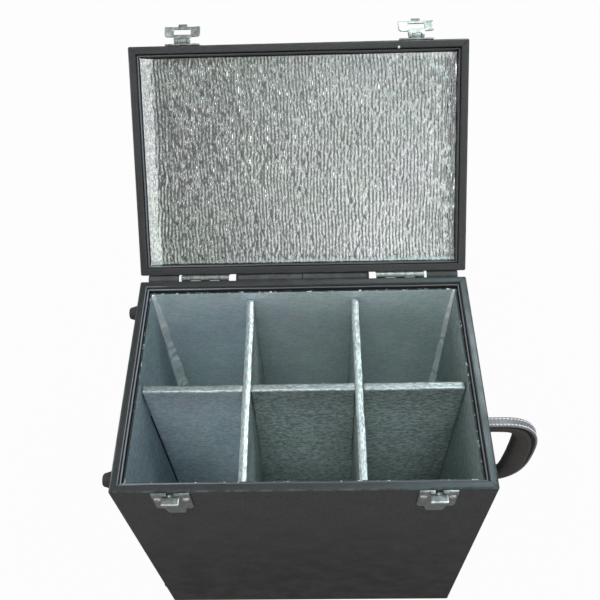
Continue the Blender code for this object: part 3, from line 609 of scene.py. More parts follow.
def lip_ring(name, low, high, free_edge):
    """Four thin walls joined at the corners, with the free edge rounded and a little wavy."""
    x, y = HALF_WIDTH - LIP_FACE, HALF_DEPTH - LIP_FACE
    piece = start_block(name + "_strip", (-x, -y, low), (x, y, high))
    pick("faces", lambda face: abs(face.normal.z) > 0.9)
    bpy.ops.mesh.delete(type="FACE")
    modify(piece, "SOLIDIFY", thickness=LIP, offset=-1, use_even_offset=True)
    apply_all(piece)
    open_mesh()

    def along_wall(edge):
        return abs(edge.verts[0].co.z - edge.verts[1].co.z) < 1e-6 and edge.calc_length() > 0.05

    def along_free_edge(edge):
        level = all(abs(corner.co.z - free_edge) < 1e-6 for corner in edge.verts)
        sides = [face.normal.z for face in edge.link_faces]
        return level and len(sides) == 2 and abs(sides[0] - sides[1]) > 0.5

    pick("edges", along_wall)
    bpy.ops.mesh.subdivide(number_cuts=LIP_CUTS)
    pick("edges", along_free_edge)
    bevel(LIP_ROUND, 3)
    close_mesh()
    for corner in piece.data.vertices:
        near = max(0, 1 - abs(corner.co.z - free_edge) / 0.02)
        outward = Vector((corner.co.x, corner.co.y, 0)).normalized()
        bend = noise.noise(corner.co * 22) * 0.00045 * near
        corner.co += outward * bend + Vector((0, 0, noise.noise(corner.co * 17) * 0.0003 * near))
    return piece


body_lip = lip_ring("body_lip", *LIP_LEVELS["body_lip"], LIP_LEVELS["body_lip"][1])
settle(body_lip, "body", "trim", body_lip_skin, "body_lip")
lid_lip = lip_ring("lid_lip", *LIP_LEVELS["lid_lip"], LIP_LEVELS["lid_lip"][0])
lid_lip.data.transform(OPEN)
settle(lid_lip, "lid", "trim", lid_lip_skin, "lid_lip")

# Foil lining of the body
# Thin foam with aluminium foil on its face. The foil has small level creases from the roll,
# and the panels are cut square and stand against the boards.
LINING_TOP = 0.3089


def crinkled_foil(given):
    """Creases that run along a direction, with fine crinkle between them and a dark cut edge."""
    place = given["Place"]
    creases = place.stretched(given["Along"]).spot(given["Crease"], 5.0, 0.62, 0.4)
    broad = place.spot(22.0, 3.0, 0.55)
    height = creases + place.spot(2300.0, 2.0, 0.6) * 0.22 + broad * 2.5
    # Painted highlight and shade: the crests of the creases are lighter and their hollows darker.
    mask = creases.fade(0.40, 0.61)
    tone = mask.between(given["Deep"], given["Bright"])
    tone = tone.tinted(broad.fade(0.25, 0.75, 0.86, 1.0).grey())
    tone = tone.tinted(place.spot(13.0).fade(0.36, 0.64).between((0.95, 1.0, 0.965), (0.975, 0.985, 1.0)))
    at_cut = (place.axes()[2] - given["Cut"]).fade(-0.0003, 0.0)
    crumbs = place.spot(210.0, 4.0, 0.7).fade(0.56, 0.66)
    tone = (at_cut * (1 - crumbs)).between(tone, (0.035, 0.045, 0.045))
    return tone, mask.fade(0.0, 1.0, given["Dull"], given["Clear"]), height


FOIL = shader_group(
    "crinkled foil", crinkled_foil, Along=Vector((1, 1, 1)), Crease=300.0, Deep=(0.3, 0.36, 0.37),
    Bright=(0.6, 0.66, 0.66), Dull=0.5, Clear=0.3, Cut=9.0,
)
LEVEL_CREASES = {"Along": (0.65, 0.65, 1.7), "Dull": 0.50, "Clear": 0.38}


def lining_foil(name, deep, bright):
    """The foil of one or more panels, with its tone in the creases and on them."""
    look = {**LEVEL_CREASES, "Crease": 380.0, "Deep": deep, "Bright": bright, "Cut": LINING_TOP}
    return surface(name, FOIL, look, 1.0, 0.0009, metal=0.5)


cell_foil = lining_foil("cell foil", (0.68, 0.86, 0.91), (1.0, 1.0, 1.0))
# Painted shade: the side walls are darker copies of the same foil, the left one bluer.
shaded_left_foil = lining_foil("left wall foil in painted shade", (0.30, 0.38, 0.42), (0.50, 0.57, 0.61))
shaded_right_foil = lining_foil("right wall foil in painted shade", (0.29, 0.35, 0.345), (0.50, 0.56, 0.55))
dress(cell_foil, "front_lining", "back_lining", "floor_lining")
dress(shaded_left_foil, "left_lining")
dress(shaded_right_foil, "right_lining")

# Folds in the back corners
# Where two lining panels meet at the back, the foil bridges the corner in a soft fold, painted
# brighter than the lining from top to bottom as a painted highlight.
LINING_X = 0.1391
LINING_Y = 0.0911
FOLD_LOW = 0.0108
FOLD_HIGH = 0.3086
FOLD_CUTS = 170
FOLD_FULL = 0.16
# Painted highlight: the fold foil is a brighter, non-metallic copy of the lining foil.
lit_fold_look = {
    "Along": (1, 1, 0.8), "Crease": 300.0, "Deep": (0.84, 0.92, 0.91), "Bright": (1.0, 1.0, 1.0),
    "Dull": 0.55, "Clear": 0.42,
}
lit_fold_foil = surface("fold foil in painted highlight", FOIL, lit_fold_look, 0.8, 0.0006)


def ripple(x, y, z):
    """Smooth noise at a place, between minus one and one."""
    return noise.noise(Vector((x, y, z)))


def slice_at(points, across):
    """Cuts the whole piece by level planes through some points."""
    for point in points:
        pick_all()
        bpy.ops.mesh.bisect(plane_co=point, plane_no=across)


def corner_fold(name, side, width):
    """An upright strip in a back corner, hollowed on the side that faces the cell."""
    ends = sorted((side * LINING_X, side * (LINING_X - width)))
    piece = start_block(name, (ends[0], LINING_Y - width, FOLD_LOW), (ends[1], LINING_Y, FOLD_HIGH))
    free = Vector((side * (LINING_X - width), LINING_Y - width))
    pick("edges", lambda edge: all((corner.co.xy - free).length < 1e-5 for corner in edge.verts))
    bevel(width * 0.93, 7, profile=0.2)
    height = FOLD_HIGH - FOLD_LOW
    levels = (FOLD_LOW + height * step / FOLD_CUTS for step in range(1, FOLD_CUTS))
    slice_at([(0, 0, level) for level in levels], (0, 0, 1))
    close_mesh()
    for corner in piece.data.vertices:
        level = corner.co.z
        down = max(0.0, min(1.0, (FOLD_HIGH - level) / FOLD_FULL))
        wander = ripple(side * 3.7, level * 42, 1.9) + ripple(side * 2.1, level * 130, 6.1) * 0.7
        fuller = (0.30 + 0.70 * down ** 0.7) * (1 + 0.34 * wander)
        corner.co.x = side * (LINING_X - (LINING_X - abs(corner.co.x)) * fuller)
        corner.co.y = LINING_Y - (LINING_Y - corner.co.y) * fuller
        off_wall = min(LINING_X - abs(corner.co.x), LINING_Y - corner.co.y) / width
        crinkle = noise.noise_vector(corner.co * 90) * 0.0015 + noise.noise_vector(corner.co * 250) * 0.0010
        corner.co += crinkle * min(1.0, off_wall * 3)
    settle(piece, "body", "foil", lit_fold_foil, angle=60)


corner_fold("back_left_fold", -1, 0.0085)
corner_fold("back_right_fold", 1, 0.0055)

# Dividers
# Foam boards wrapped in the same foil, six millimetres thick. Two run from front to back and
# are slotted over the one that runs across. The wrap is crushed along the top, with a painted highlight along
# one side.
DIVIDER_TOP = 0.300
DIVIDER_HALF = 0.003
CRUSHED = 0.006
CRUSH_STEP = 0.0022
DIVIDERS = {"left_divider": "y", "right_divider": "y", "cross_divider": "x"}
REACH = {"x": 0.139, "y": 0.091}
GAP_END = -0.1376


def wrap_tone(left, right):
    """Painted light: the wrap is bluer and brighter in the left cells, and painted shade darkens it close
    under the top.
    """
    def made(place):
        x, _, z = place.axes()
        # Painted shade, darker close under the top.
        shade_under_top = z.fade(DIVIDER_TOP - 0.003, DIVIDER_TOP - 0.050, 0.66, 1.0)
        return x.fade(-0.052, -0.044).between(left, right).tinted(shade_under_top.grey())
    return made


wrap_look = {
    **LEVEL_CREASES, "Crease": 400.0, "Deep": wrap_tone((0.54, 0.70, 0.79), (0.27, 0.32, 0.30)),
    "Bright": wrap_tone((1.0, 1.0, 1.0), (0.68, 0.76, 0.74)),
}
divider_foil = surface("divider foil", FOIL, wrap_look, 1.0, 0.0012, metal=0.2)


def toned(tone, red, green, blue):
    """A colour worked out from one brightness."""
    return tone * red, tone * green, tone * blue


def edge_foil(name, along, axis, dull_at, bright_at, dull, bright):
    """Foil crushed over the top of a divider, painted bright along one side as a painted highlight."""
    deep = changing(axis, dull_at, bright_at, toned(dull, 0.56, 0.60, 0.60), toned(bright, 0.50, 0.54, 0.55))
    clear = changing(axis, dull_at, bright_at, toned(dull, 1.0, 1.07, 1.07), toned(bright, 1.0, 1.06, 1.08))
    look = {"Along": along, "Crease": 430.0, "Deep": deep, "Bright": clear, "Dull": 0.52, "Clear": 0.42}
    return surface(name, FOIL, look, 0.6, 0.0004, metal=0.8)


def copied(name, mesh):
    """A new piece with its own copy of a mesh."""
    piece = bpy.data.objects.new(name, mesh.copy())
    scene.collection.objects.link(piece)
    return piece


def merged_copy(name, node, flat=1):
    """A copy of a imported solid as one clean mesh, in edit mode, flat parts made whole."""
    piece = copied(name, nodes[node].data)
    take(piece)
    open_mesh()
    pick_all()
    bpy.ops.mesh.remove_doubles(threshold=1e-6)
    if flat:
        bpy.ops.mesh.dissolve_limited(angle_limit=math.radians(flat))
    return piece


def crushed_divider(node, along):
    """A divider whose top is cut fine and pushed about, as the folded foil is."""
    crossing = along == "x"
    axis, across = Vector((crossing, not crossing, 0)), Vector((not crossing, crossing, 0))
    side = int(crossing)
    low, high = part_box(node)
    piece = merged_copy(node + "_foam", node)
    slice_at([(0, 0, DIVIDER_TOP - 2 * CRUSHED), (0, 0, DIVIDER_TOP - CRUSHED)], (0, 0, 1))
    for share in (0.12, 0.3, 0.5, 0.7, 0.88):
        pick("faces", lambda face: face.normal.z > 0.9 and centre_of(face).z > DIVIDER_TOP - 0.001)
        cut = low[side] + (high[side] - low[side]) * share
        bpy.ops.mesh.bisect(plane_co=across * cut, plane_no=across)
    reach = REACH[along]
    steps = int(2 * reach / CRUSH_STEP)

    def crushed(face):
        return centre_of(face).z > DIVIDER_TOP - CRUSHED and abs(face.normal.dot(axis)) < 0.9

    for step in range(1, steps):
        pick("faces", crushed)
        bpy.ops.mesh.bisect(plane_co=axis * (2 * reach * step / steps - reach), plane_no=axis)
    close_mesh()
    centre = (low[side] + high[side]) / 2
    for corner in piece.data.vertices:
        near = max(0, 1 - (DIVIDER_TOP - corner.co.z) / CRUSHED)
        off = max(-1.0, min(1.0, (corner.co[side] - centre) / DIVIDER_HALF))
        if near > 0.99:
            corner.co.z -= 0.0005 * abs(off) ** 2.4 if crossing or off < 0 else 0.0013 * off ** 1.6
        swell = 0.0007 if crossing else 0.0011 if off < 0 else 0.0004
        corner.co[side] += swell * off * near
        if crossing and corner.co.x < GAP_END - 0.0009:
            corner.co.x = GAP_END
        push = noise.noise_vector(corner.co * 210) * 0.00016 + noise.noise_vector(corner.co * 37) * 0.00055
        corner.co += push * near
    return piece


for node, along in DIVIDERS.items():
    divider = crushed_divider(node, along)
    settle(divider, "body", "foil", divider_foil, node, angle=50)
    middle = sum(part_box(node), Vector()) / 2
    name = node + " edge foil"
    if along == "x":
        top_foil = edge_foil(name, (0.5, 2.0, 1), "Y", middle.y - 0.0014, middle.y - 0.0028, 0.40, 0.85)
    else:
        # Painted highlight: the top of the left divider is brighter than that of the right one.
        bright = 0.80 if middle.x < 0 else 0.50
        top_foil = edge_foil(name, (2.0, 0.5, 1), "X", middle.x - 0.0002, middle.x + 0.0006, 0.54, bright)
    second_finish(divider, top_foil, lambda face: face.center.z > DIVIDER_TOP - 0.0016)

# Painted gap shade
# A dark strip stands in for the shade in the gap where the cross divider ends short of the left
# wall, from a little below the top down to the floor.
GAP_SHADE_LOW = (-0.1393, -0.0071, 0.0110)
GAP_SHADE_HIGH = (-0.1382, -0.0058, 0.2560)
gap_shade_look = {"Dark": (0.020, 0.026, 0.028), "Light": (0.030, 0.038, 0.040), "Rim": 0.9, "Wear": 0.0}
gap_shade_strip = start_block("left_gap_shade_strip", GAP_SHADE_LOW, GAP_SHADE_HIGH)
roll_edges(gap_shade_strip, 0.0004)
settle(gap_shade_strip, "body", "rubber", surface("painted gap shade", LEATHER, gap_shade_look, 0.3, 0.0001))

# Lid pad
# Soft foam glued in the lid under one sheet of foil. The foil is gathered in fine broken
# ridges that run from the hinges to the latches, and its edges are turned up against the rim.
PAD_X = 0.1412
PAD_Y = 0.0932
PAD_FACE = 0.3284
PAD_BACK = 0.3498
PAD_ROLL = 0.0005
PAD_CROWN = 0.0016
PAD_COVES = {
    "left": (0.0115, 0.0060), "right": (0.0055, 0.0014),
    "front": (0.0070, 0.0018), "back": (0.0050, 0.0018),
}
RIDGE = 0.0031
RIDGE_HEIGHT = 0.00046
PAD_STEP_X = 0.00056
PAD_STEP_Y = 0.00098


def pad_station(share, reach):
    """A place across the pad, and how far it has rolled back, by distance over the rolled edge."""
    arc = PAD_ROLL * math.pi / 2
    whole = 2 * (reach - PAD_ROLL) + 2 * arc
    along = share * whole
    near = min(along, whole - along)
    side = -1 if along < whole / 2 else 1
    if near < arc:
        turn = near / PAD_ROLL
        return side * (reach - PAD_ROLL * (1 - math.cos(turn))), PAD_ROLL * (1 - math.sin(turn))
    return side * (reach - PAD_ROLL - (near - arc)), 0.0


def pad_cove(side, distance):
    """How far the foil climbs the rim towards one edge."""
    width, rise = PAD_COVES[side]
    return rise * max(0.0, 1 - distance / width) ** 2


def ridges(x, y):
    """Height of the gathered foil: columns that wander, swell and break along their length."""
    loose = 0.6 + 0.4 * max(0.0, min(1.0, (0.03 - x) / 0.12))
    wander = ripple(x * 11, y * 15, 3.1) * 0.0030 + ripple(x * 60, y * 90, 7.7) * 0.0015 * loose
    column = (x + wander) / RIDGE
    number = math.floor(column)
    across = 0.5 - 0.5 * math.cos((column - number) * math.tau)
    swell = ripple(number * 5.37, y * 170, 1.3) + 0.5 * ripple(number * 8.1, y * 420, 6.3)
    dent = ripple(x * 420, y * 170 + x * 60, 9.2)
    fold = ripple(x * 240 + y * 170, y * 260 - x * 90, 4.4)
    return RIDGE_HEIGHT * (across * (0.85 + 1.7 * swell) + 0.9 * dent + 1.0 * loose * fold)


def pad_level(x, y, rolled):
    """Height of the foil over a point of the pad, in the frame of the shut case."""
    crown = PAD_CROWN * (1 - (x / PAD_X) ** 4) * (1 - (y / PAD_Y) ** 4)
    climb = pad_cove("left", x + PAD_X) + pad_cove("right", PAD_X - x)
    across = pad_cove("front", y + PAD_Y) + pad_cove("back", PAD_Y - y)
    flat = (1 - rolled / PAD_ROLL) * max(0.2, 1 - across / 0.0009) * max(0.45, 1 - climb / 0.0060)
    sway = ripple(x * 24, y * 24, 5) * 0.0006
    return PAD_FACE + rolled + sway - climb - across - crown - ridges(x, y) * flat


pad_cells = {"x_subdivisions": int(2 * PAD_X / PAD_STEP_X), "y_subdivisions": int(2 * PAD_Y / PAD_STEP_Y)}
pad = added(bpy.ops.mesh.primitive_grid_add, "lid_pad_foil", size=1, **pad_cells)
for corner in pad.data.vertices:
    x, rolled_x = pad_station(corner.co.x + 0.5, PAD_X)
    y, rolled_y = pad_station(corner.co.y + 0.5, PAD_Y)
    corner.co = (x, y, pad_level(x, y, max(rolled_x, rolled_y)))
open_mesh()
pick_all()
bpy.ops.mesh.flip_normals()
pick("edges", lambda edge: len(edge.link_faces) == 1)
push_out((0, 0, 0.004))
shape = bmesh.from_edit_mesh(pad.data)
for corner in shape.verts:
    if corner.select:
        corner.co.z = PAD_BACK
bmesh.update_edit_mesh(pad.data)
bpy.ops.mesh.edge_face_add()
face_out()
close_mesh()
pad.data.transform(OPEN)


def pad_tone(dim, full):
    """Painted shade: the foil is darker at the left and towards the latches, but painted bright where it
    turns up at the left edge, as a painted highlight.
    """
    def made(place):
        x, y, _ = place.axes()
        clear = x.fade(-0.13, 0.085) - y.fade(-0.088, 0.04, 0.22, 0.0)
        return clear.most(x.fade(-0.1290, -0.1335)).between(dim, full)
    return made


# The pad's colours carry painted shade and a painted highlight along the left edge.
pad_look = {
    "Along": (1.5, 0.7, 1.0), "Crease": 560.0, "Dull": 0.26, "Clear": 0.15,
    "Deep": pad_tone((0.29, 0.30, 0.275), (0.56, 0.57, 0.555)),
    "Bright": pad_tone((0.68, 0.69, 0.665), (0.98, 0.985, 0.975)),
}
pad_foil = surface("pad foil", FOIL, pad_look, 0.45, 0.0003, True, metal=0.92)
settle(pad, "lid", "foil", pad_foil, "lid_pad", angle=80)

# Nickel fittings
# Pressed steel with a satin nickel plate: hinges, latches, screws and handle brackets. The
# plate is slightly greenish, with faint drawing marks and duller spots.
LATCHES = {"left": -0.102, "right": 0.1041}
HASP_AXIS = Vector((0, -0.106, 0.3186))
HASP_OPEN = turned_at(HASP_AXIS, math.radians(-120))
FLANGE_INNER = 0.0037
FLANGE_OUTER = 0.0149
FLANGE_SLOPE = 0.0008
LEDGE_HALF = 0.0069
LEDGE_LOW = 0.3088
LEDGE_HIGH = 0.3109
LEDGE_OUT = -0.1108
LOOP_HALF = 0.0157
LOOP_LENGTH = 0.0186
LOOP_SHEET = 0.0012
LOOP_OFFS = (0.0039, 0.0074, 0.0088, 0.0108, 0.0132)
LOOP_DOWNS = (0.0024, 0.0044, 0.0067, 0.0124, 0.0150, 0.0168)
KNUCKLE_RADIUS = 0.0021
KNUCKLE_LENGTH = 0.0031
KNUCKLE_OFF = 0.00545


def nickel_plate(given):
    """Drawing marks along X and duller spots."""
    place = given["Place"]
    drawn = place.stretched((0.25, 1.0, 1.0)).spot(2400.0, 3.0, 0.6)
    dull = place.spot(260.0, 4.0, 0.6)
    tone = given["Tone"].tinted(dull.fade(0.35, 0.7, 0.72, 1.12).grey())
    return tone, (drawn + dull).fade(0.7, 1.3, 0.36, 0.50), drawn


NICKEL = shader_group("nickel plate", nickel_plate, Tone=(0.4, 0.4, 0.4))


def plated(name, *tone):
    """Metal with the marks of the plate in one tone."""
    return surface(name, NICKEL, {"Tone": tone}, 0.12, 0.0001, metal=1.0)


nickel = plated("satin nickel", 0.42, 0.44, 0.42)
# Painted shade and highlight: darker and brighter copies of the same nickel. The keepers take the darker one;
# the ledge edges, keeper screws and rim nail take the brighter one.
shaded_nickel = plated("shaded nickel", 0.25, 0.265, 0.255)
highlight_nickel = plated("highlight nickel", 0.78, 0.80, 0.78)
flange_nickel = plated("flange nickel", 0.31, 0.33, 0.31)


def fitting(node, body, width, plate=nickel):
    """A pressed fitting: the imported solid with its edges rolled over."""
    piece = merged_copy(node + "_metal", node)
    roll_edges(piece, width)
    settle(piece, body, "nickel", plate, node)


def keeper_flange(name, left, right):
    """A turned-out lip at the top of a keeper, its face sloped back to the leather."""
    piece = start_block(name, (left, -0.1046, 0.3094), (right, -0.1030, 0.3145))
    pick("verts", lambda corner: corner.co.z > 0.314 and corner.co.y < -0.1045)
    bpy.ops.transform.translate(value=(0, FLANGE_SLOPE, 0))
    roll_edges(piece, 0.0003)
    settle(piece, "body", "nickel", flange_nickel)


def ledge_rim(name, left, right, back):
    """A rolled edge of the hook's ledge, painted bright as a painted highlight."""
    piece = start_block(name, (left, LEDGE_OUT, LEDGE_LOW), (right, back, LEDGE_HIGH))
    roll_edges(piece, 0.00055, 4)
    settle(piece, "body", "nickel", highlight_nickel)


def cut_loop(side, centre):
    """The swinging loop of a latch: cut from sheet, wings dished back, tab turned out."""
    place = (centre, HASP_AXIS.y, HASP_AXIS.z - LOOP_LENGTH / 2)
    loop = start_sheet(side + "_hasp_loop", (2 * LOOP_HALF, LOOP_LENGTH), place, (math.pi / 2, 0, 0))
    slice_at([(centre + way * off, 0, 0) for way in (-1, 1) for off in LOOP_OFFS], (1, 0, 0))
    slice_at([(0, 0, HASP_AXIS.z - down) for down in LOOP_DOWNS], (0, 0, 1))
    gap, neck, _, _, _ = LOOP_OFFS
    knuckles_end, shoulder, window_start, window_end, tab_start, _ = LOOP_DOWNS

    def from_axis(at):
        return abs(at.x - centre), HASP_AXIS.z - at.z

    def cut_away(face):
        off, down = from_axis(centre_of(face))
        between_knuckles = down < knuckles_end and off < gap
        beside_neck = down < shoulder and off > neck
        window = window_start < down < window_end and off < neck
        beside_tab = down > tab_start and off > gap
        return between_knuckles or beside_neck or window or beside_tab

    def wing_tip(level):
        def passes(corner):
            off, down = from_axis(corner.co)
            return off > LOOP_HALF - 0.0001 and abs(down - level) < 1e-5
        return passes

    pick("faces", cut_away)
    bpy.ops.mesh.delete(type="FACE")
    pick("verts", wing_tip(shoulder))
    bevel(0.0022, 2, "VERTICES")
    pick("verts", wing_tip(tab_start))
    bevel(0.0010, 2, "VERTICES")
    close_mesh()
    for corner in loop.data.vertices:
        off, down = from_axis(corner.co)
        corner.co.y += 0.0006 * max(0.0, (off - 0.0078) / 0.0079) ** 1.6
        corner.co.y -= 0.0012 * max(0.0, (down - tab_start) / 0.0036)
    modify(loop, "SOLIDIFY", thickness=LOOP_SHEET, offset=0, use_even_offset=True)
    roll_edges(loop, 0.00032, angle=40)
    knuckles = []
    for way in (-1, 1):
        place = (centre + way * KNUCKLE_OFF, HASP_AXIS.y, HASP_AXIS.z)
        knuckles.append(start_rod("knuckle", 28, KNUCKLE_RADIUS, KNUCKLE_LENGTH, place))
        pick_all()
        bevel(0.0003, 2)
        close_mesh()
    take(loop, *knuckles)
    bpy.ops.object.join()
    loop.data.transform(OPEN @ HASP_OPEN)
    settle(loop, f"hasp_{side}", "nickel", nickel, side + "_hasp", angle=30)


for side, centre in LATCHES.items():
    keeper = side + "_keeper"
    fitting(keeper, "body", 0.00045, shaded_nickel)
    keeper_flange(keeper + "_left_flange", centre - FLANGE_OUTER, centre - FLANGE_INNER)
    keeper_flange(keeper + "_right_flange", centre + FLANGE_INNER, centre + FLANGE_OUTER)
    ledge_rim(keeper + "_front_edge", centre - LEDGE_HALF, centre + LEDGE_HALF, -0.1096)
    ledge_rim(keeper + "_right_edge", centre + LEDGE_HALF - 0.0011, centre + LEDGE_HALF, -0.1040)
    fitting(side + "_lid_plate", "lid", 0.00035)
    cut_loop(side, centre)
dress(nickel, "hinge_leaf", "hinge_pin", "hasp_pin")

# Screws and rivets
# Round-headed cross screws hold the keepers, hinges, brackets and feet. Each head is a low
# dome with a cross driven into it. Plain domed rivets hold the latch plates of the lid.
HEAD_DOME = 0.42
CROSS_WIDE = 0.14
CROSS_LONG = 0.62
CROSS_FLOOR = 0.16
HINGES = {"left": -0.09, "right": 0.09}
PLATE_RIVETS = ((-0.0105, 0.3205), (0.0105, 0.3205), (-0.0085, 0.3345), (0.0085, 0.3345))
BRACKETS = {"upper": 0.220075, "lower": 0.098075}
FOOT_LEVELS = {"upper": 0.2995, "lower": 0.0155}
FRONT, BACK, RIGHT, LEFT, DOWN = (0, -1, 0), (0, 1, 0), (1, 0, 0), (-1, 0, 0), (0, 0, -1)


def domed_head(vertices, rounding):
    """A unit head that stands on its seat and looks up, rounded at its upper edge."""
    head = start_rod("head", vertices, 1, HEAD_DOME, (0, 0, HEAD_DOME / 2), (0, 0, 0))
    pick("faces", facing((0, 0, 1)))
    bevel(rounding, 4)
    close_mesh()
    return head


def cut_cross(head):
    """Drives a cross into a head."""
    for x, y in ((CROSS_WIDE, CROSS_LONG), (CROSS_LONG, CROSS_WIDE)):
        driver = start_block("cross", (-x, -y, CROSS_FLOOR), (x, y, 1))
        close_mesh()
        take(head)
        modify(head, "BOOLEAN", operation="DIFFERENCE", object=driver)
        apply_all(head)
        bpy.data.objects.remove(driver)


def seat_head(pattern, name, place, way, radius, turn, body, *replaced, metal=nickel):
    """Copies a head to its seat on a fitting, facing out of it."""
    piece = copied(name, pattern.data)
    aim = Vector(way).to_track_quat("Z", "Y").to_matrix().to_4x4()
    spin = Matrix.Rotation(math.radians(turn), 4, "Z")
    piece.data.transform(Matrix.Translation(place) @ aim @ spin @ Matrix.Scale(radius, 4))
    if body == "lid":
        piece.data.transform(OPEN)
    settle(piece, body, "nickel", metal, *replaced)


SCREW = domed_head(28, 0.40)
cut_cross(SCREW)
RIVET = domed_head(20, 0.41)
for side, centre in LATCHES.items():
    for place, step, turn in (("left", -0.0111, 20), ("right", 0.0111, 65)):
        node, seat = f"{side}_keeper_{place}_screw", (centre + step, -0.1035, 0.3050)
        # The keeper screw heads take the painted highlight nickel.
        seat_head(SCREW, node + "_head", seat, FRONT, 0.0028, turn, "body", node, metal=highlight_nickel)
    for number, (step, level) in enumerate(PLATE_RIVETS):
        seat = (centre + step, -0.1034, level)
        seat_head(RIVET, f"{side}_lid_plate_rivet_{number}", seat, FRONT, 0.0019, 0, "lid")
for side, centre in HINGES.items():
    for number, step in enumerate((-0.016, 0, 0.016)):
        for body, level, turn in (("body", 0.3035, 17 + 31 * number), ("lid", 0.3272, -17 - 31 * number)):
            seat = (centre + step, 0.1034, level)
            seat_head(SCREW, f"{body}_{side}_hinge_screw_{number}", seat, BACK, 0.0022, turn, body)
for end in BRACKETS:
    for number, step in enumerate((-0.0105, 0.0105)):
        seat = (0.15185, 0, BRACKETS[end] + step)
        seat_head(SCREW, f"{end}_bracket_screw_{number}", seat, RIGHT, 0.0026, 40 * number + 12, "body")
    for place, y in (("front", -0.085), ("back", 0.077)):
        seat = (-0.15535, y, FOOT_LEVELS[end])
        seat_head(SCREW, f"{end}_{place}_foot_screw", seat, LEFT, 0.0020, 30, "body")
# The rim nail takes the painted highlight nickel.
seat_head(RIVET, "lid_rim_nail", (0.0885, -0.0960, 0.3157), DOWN, 0.0012, 0, "lid", metal=highlight_nickel)
bpy.data.objects.remove(SCREW)
bpy.data.objects.remove(RIVET)

# Feet
# Moulded black rubber, screwed to the left wall.


def moulded_rubber(given):
    """A faint grey bloom over black."""
    bloom = given["Place"].spot(160.0, 4.0, 0.6)
    tone = bloom.fade(0.4, 0.75).between((0.010, 0.010, 0.011), (0.030, 0.030, 0.032))
    return tone, bloom.fade(0.3, 0.7, 0.55, 0.75), given["Place"].spot(1800.0)


dress(surface("black rubber", shader_group("rubber", moulded_rubber), {}, 0.3, 0.0001), "_foot")

# Handle
# A strap with two rows of stitches lies over a sprung core, and a padded leather grip is
# sewn on underneath. It turns on two pins between the ears of nickel brackets.
HANDLE_CENTRE = 0.159075
HANDLE_HALF = 0.0643
ARM_START = 0.1665
ARM_STEPS = 5
BOW_START = 0.1824
BOW = 0.0434
BOW_SHARE = 0.76
BOW_STEPS = 44
STRAP_HALF = 0.0049
STRAP = 0.0022
grip_look = {
    "Dark": (0.034, 0.030, 0.027), "Light": (0.090, 0.082, 0.072), "Worn": (0.1, 0.1, 0.11),
    "Pebble": 1100.0, "Rim": 0.9, "Wear": 0.0,
}
strap_look = {**grip_look, "Dark": (0.085, 0.080, 0.092), "Light": (0.34, 0.33, 0.35), "Pebble": 900.0}
grip_skin = surface("grip leather", LEATHER, grip_look, 0.6, 0.00018, gloss=0.15)
strap_skin = surface("strap leather", LEATHER, strap_look, 0.7, 0.0002)


def bow_point(step):
    """A point of the squared bow that the strap's outer face follows."""
    turn = math.pi * step / BOW_STEPS
    out = max(math.sin(turn), 0.0)
    up = math.copysign(abs(math.cos(turn)) ** BOW_SHARE, math.cos(turn))
    return Vector((BOW_START + BOW * out ** BOW_SHARE, 0, HANDLE_CENTRE + HANDLE_HALF * up))


def strap_route():
    """Places along the strap, and the way into the bow at each."""
    upper, bow, lower = [], [], []
    for step in range(ARM_STEPS):
        x = ARM_START + (BOW_START - ARM_START) * step / ARM_STEPS
        upper.append((Vector((x, 0, HANDLE_CENTRE + HANDLE_HALF)), Vector((0, 0, -1))))
        lower.insert(0, (Vector((x, 0, HANDLE_CENTRE - HANDLE_HALF)), Vector((0, 0, 1))))
    for step in range(BOW_STEPS + 1):
        along = bow_point(min(step + 1, BOW_STEPS)) - bow_point(max(step - 1, 0))
        inward = Vector((along.z, 0, -along.x)).normalized()
        if step in (0, BOW_STEPS):
            inward = Vector((0, 0, -1 if step == 0 else 1))
        bow.append((bow_point(step), inward))
    return upper + bow + lower


def turn_about_y(angle, centre):
    """Turns the selection about a line along Y. With no window the tool turns the other way."""
    bpy.ops.transform.rotate(value=-angle, orient_axis="Y", orient_type="GLOBAL", center_override=centre)


ROUTE = strap_route()
start_place, start_inward = ROUTE[0]
strap_end = start_place + start_inward * STRAP / 2
strap = start_sheet("strap_leather", (STRAP, 2 * STRAP_HALF), strap_end, (0, math.pi / 2, 0))
pick_all()
bevel(0.0007, 3, "VERTICES")
for (place, inward), (following, turned_to) in zip(ROUTE, ROUTE[1:]):
    push_out(following - place)
    angle = math.atan2(turned_to.x, turned_to.z) - math.atan2(inward.x, inward.z)
    turn_about_y((angle + math.pi) % math.tau - math.pi, following)
face_out()
settle(strap, "handle", "handle_leather", strap_skin, "handle_strap", angle=50)

# Stitches of the strap
# Two rows of thick pale thread, each stitch a short bar sunk a little in the leather.
STITCH_PITCH = 0.0036
STITCH_ROW = 0.0029
STITCH_SUNK = 0.0001
STITCH_RADIUS = 0.00070
STITCH_LENGTH = 0.0026
STITCH_SLANT = math.radians(9)


def twisted_thread(given):
    """Pale plies."""
    ply = given["Place"].spot(3200.0, 2.0, 0.5, 1.5)
    tone = ply.fade(0.35, 0.65).between((0.60, 0.62, 0.64), (0.92, 0.94, 0.95))
    return tone, ply.fade(0.3, 0.7, 0.7, 0.85), ply


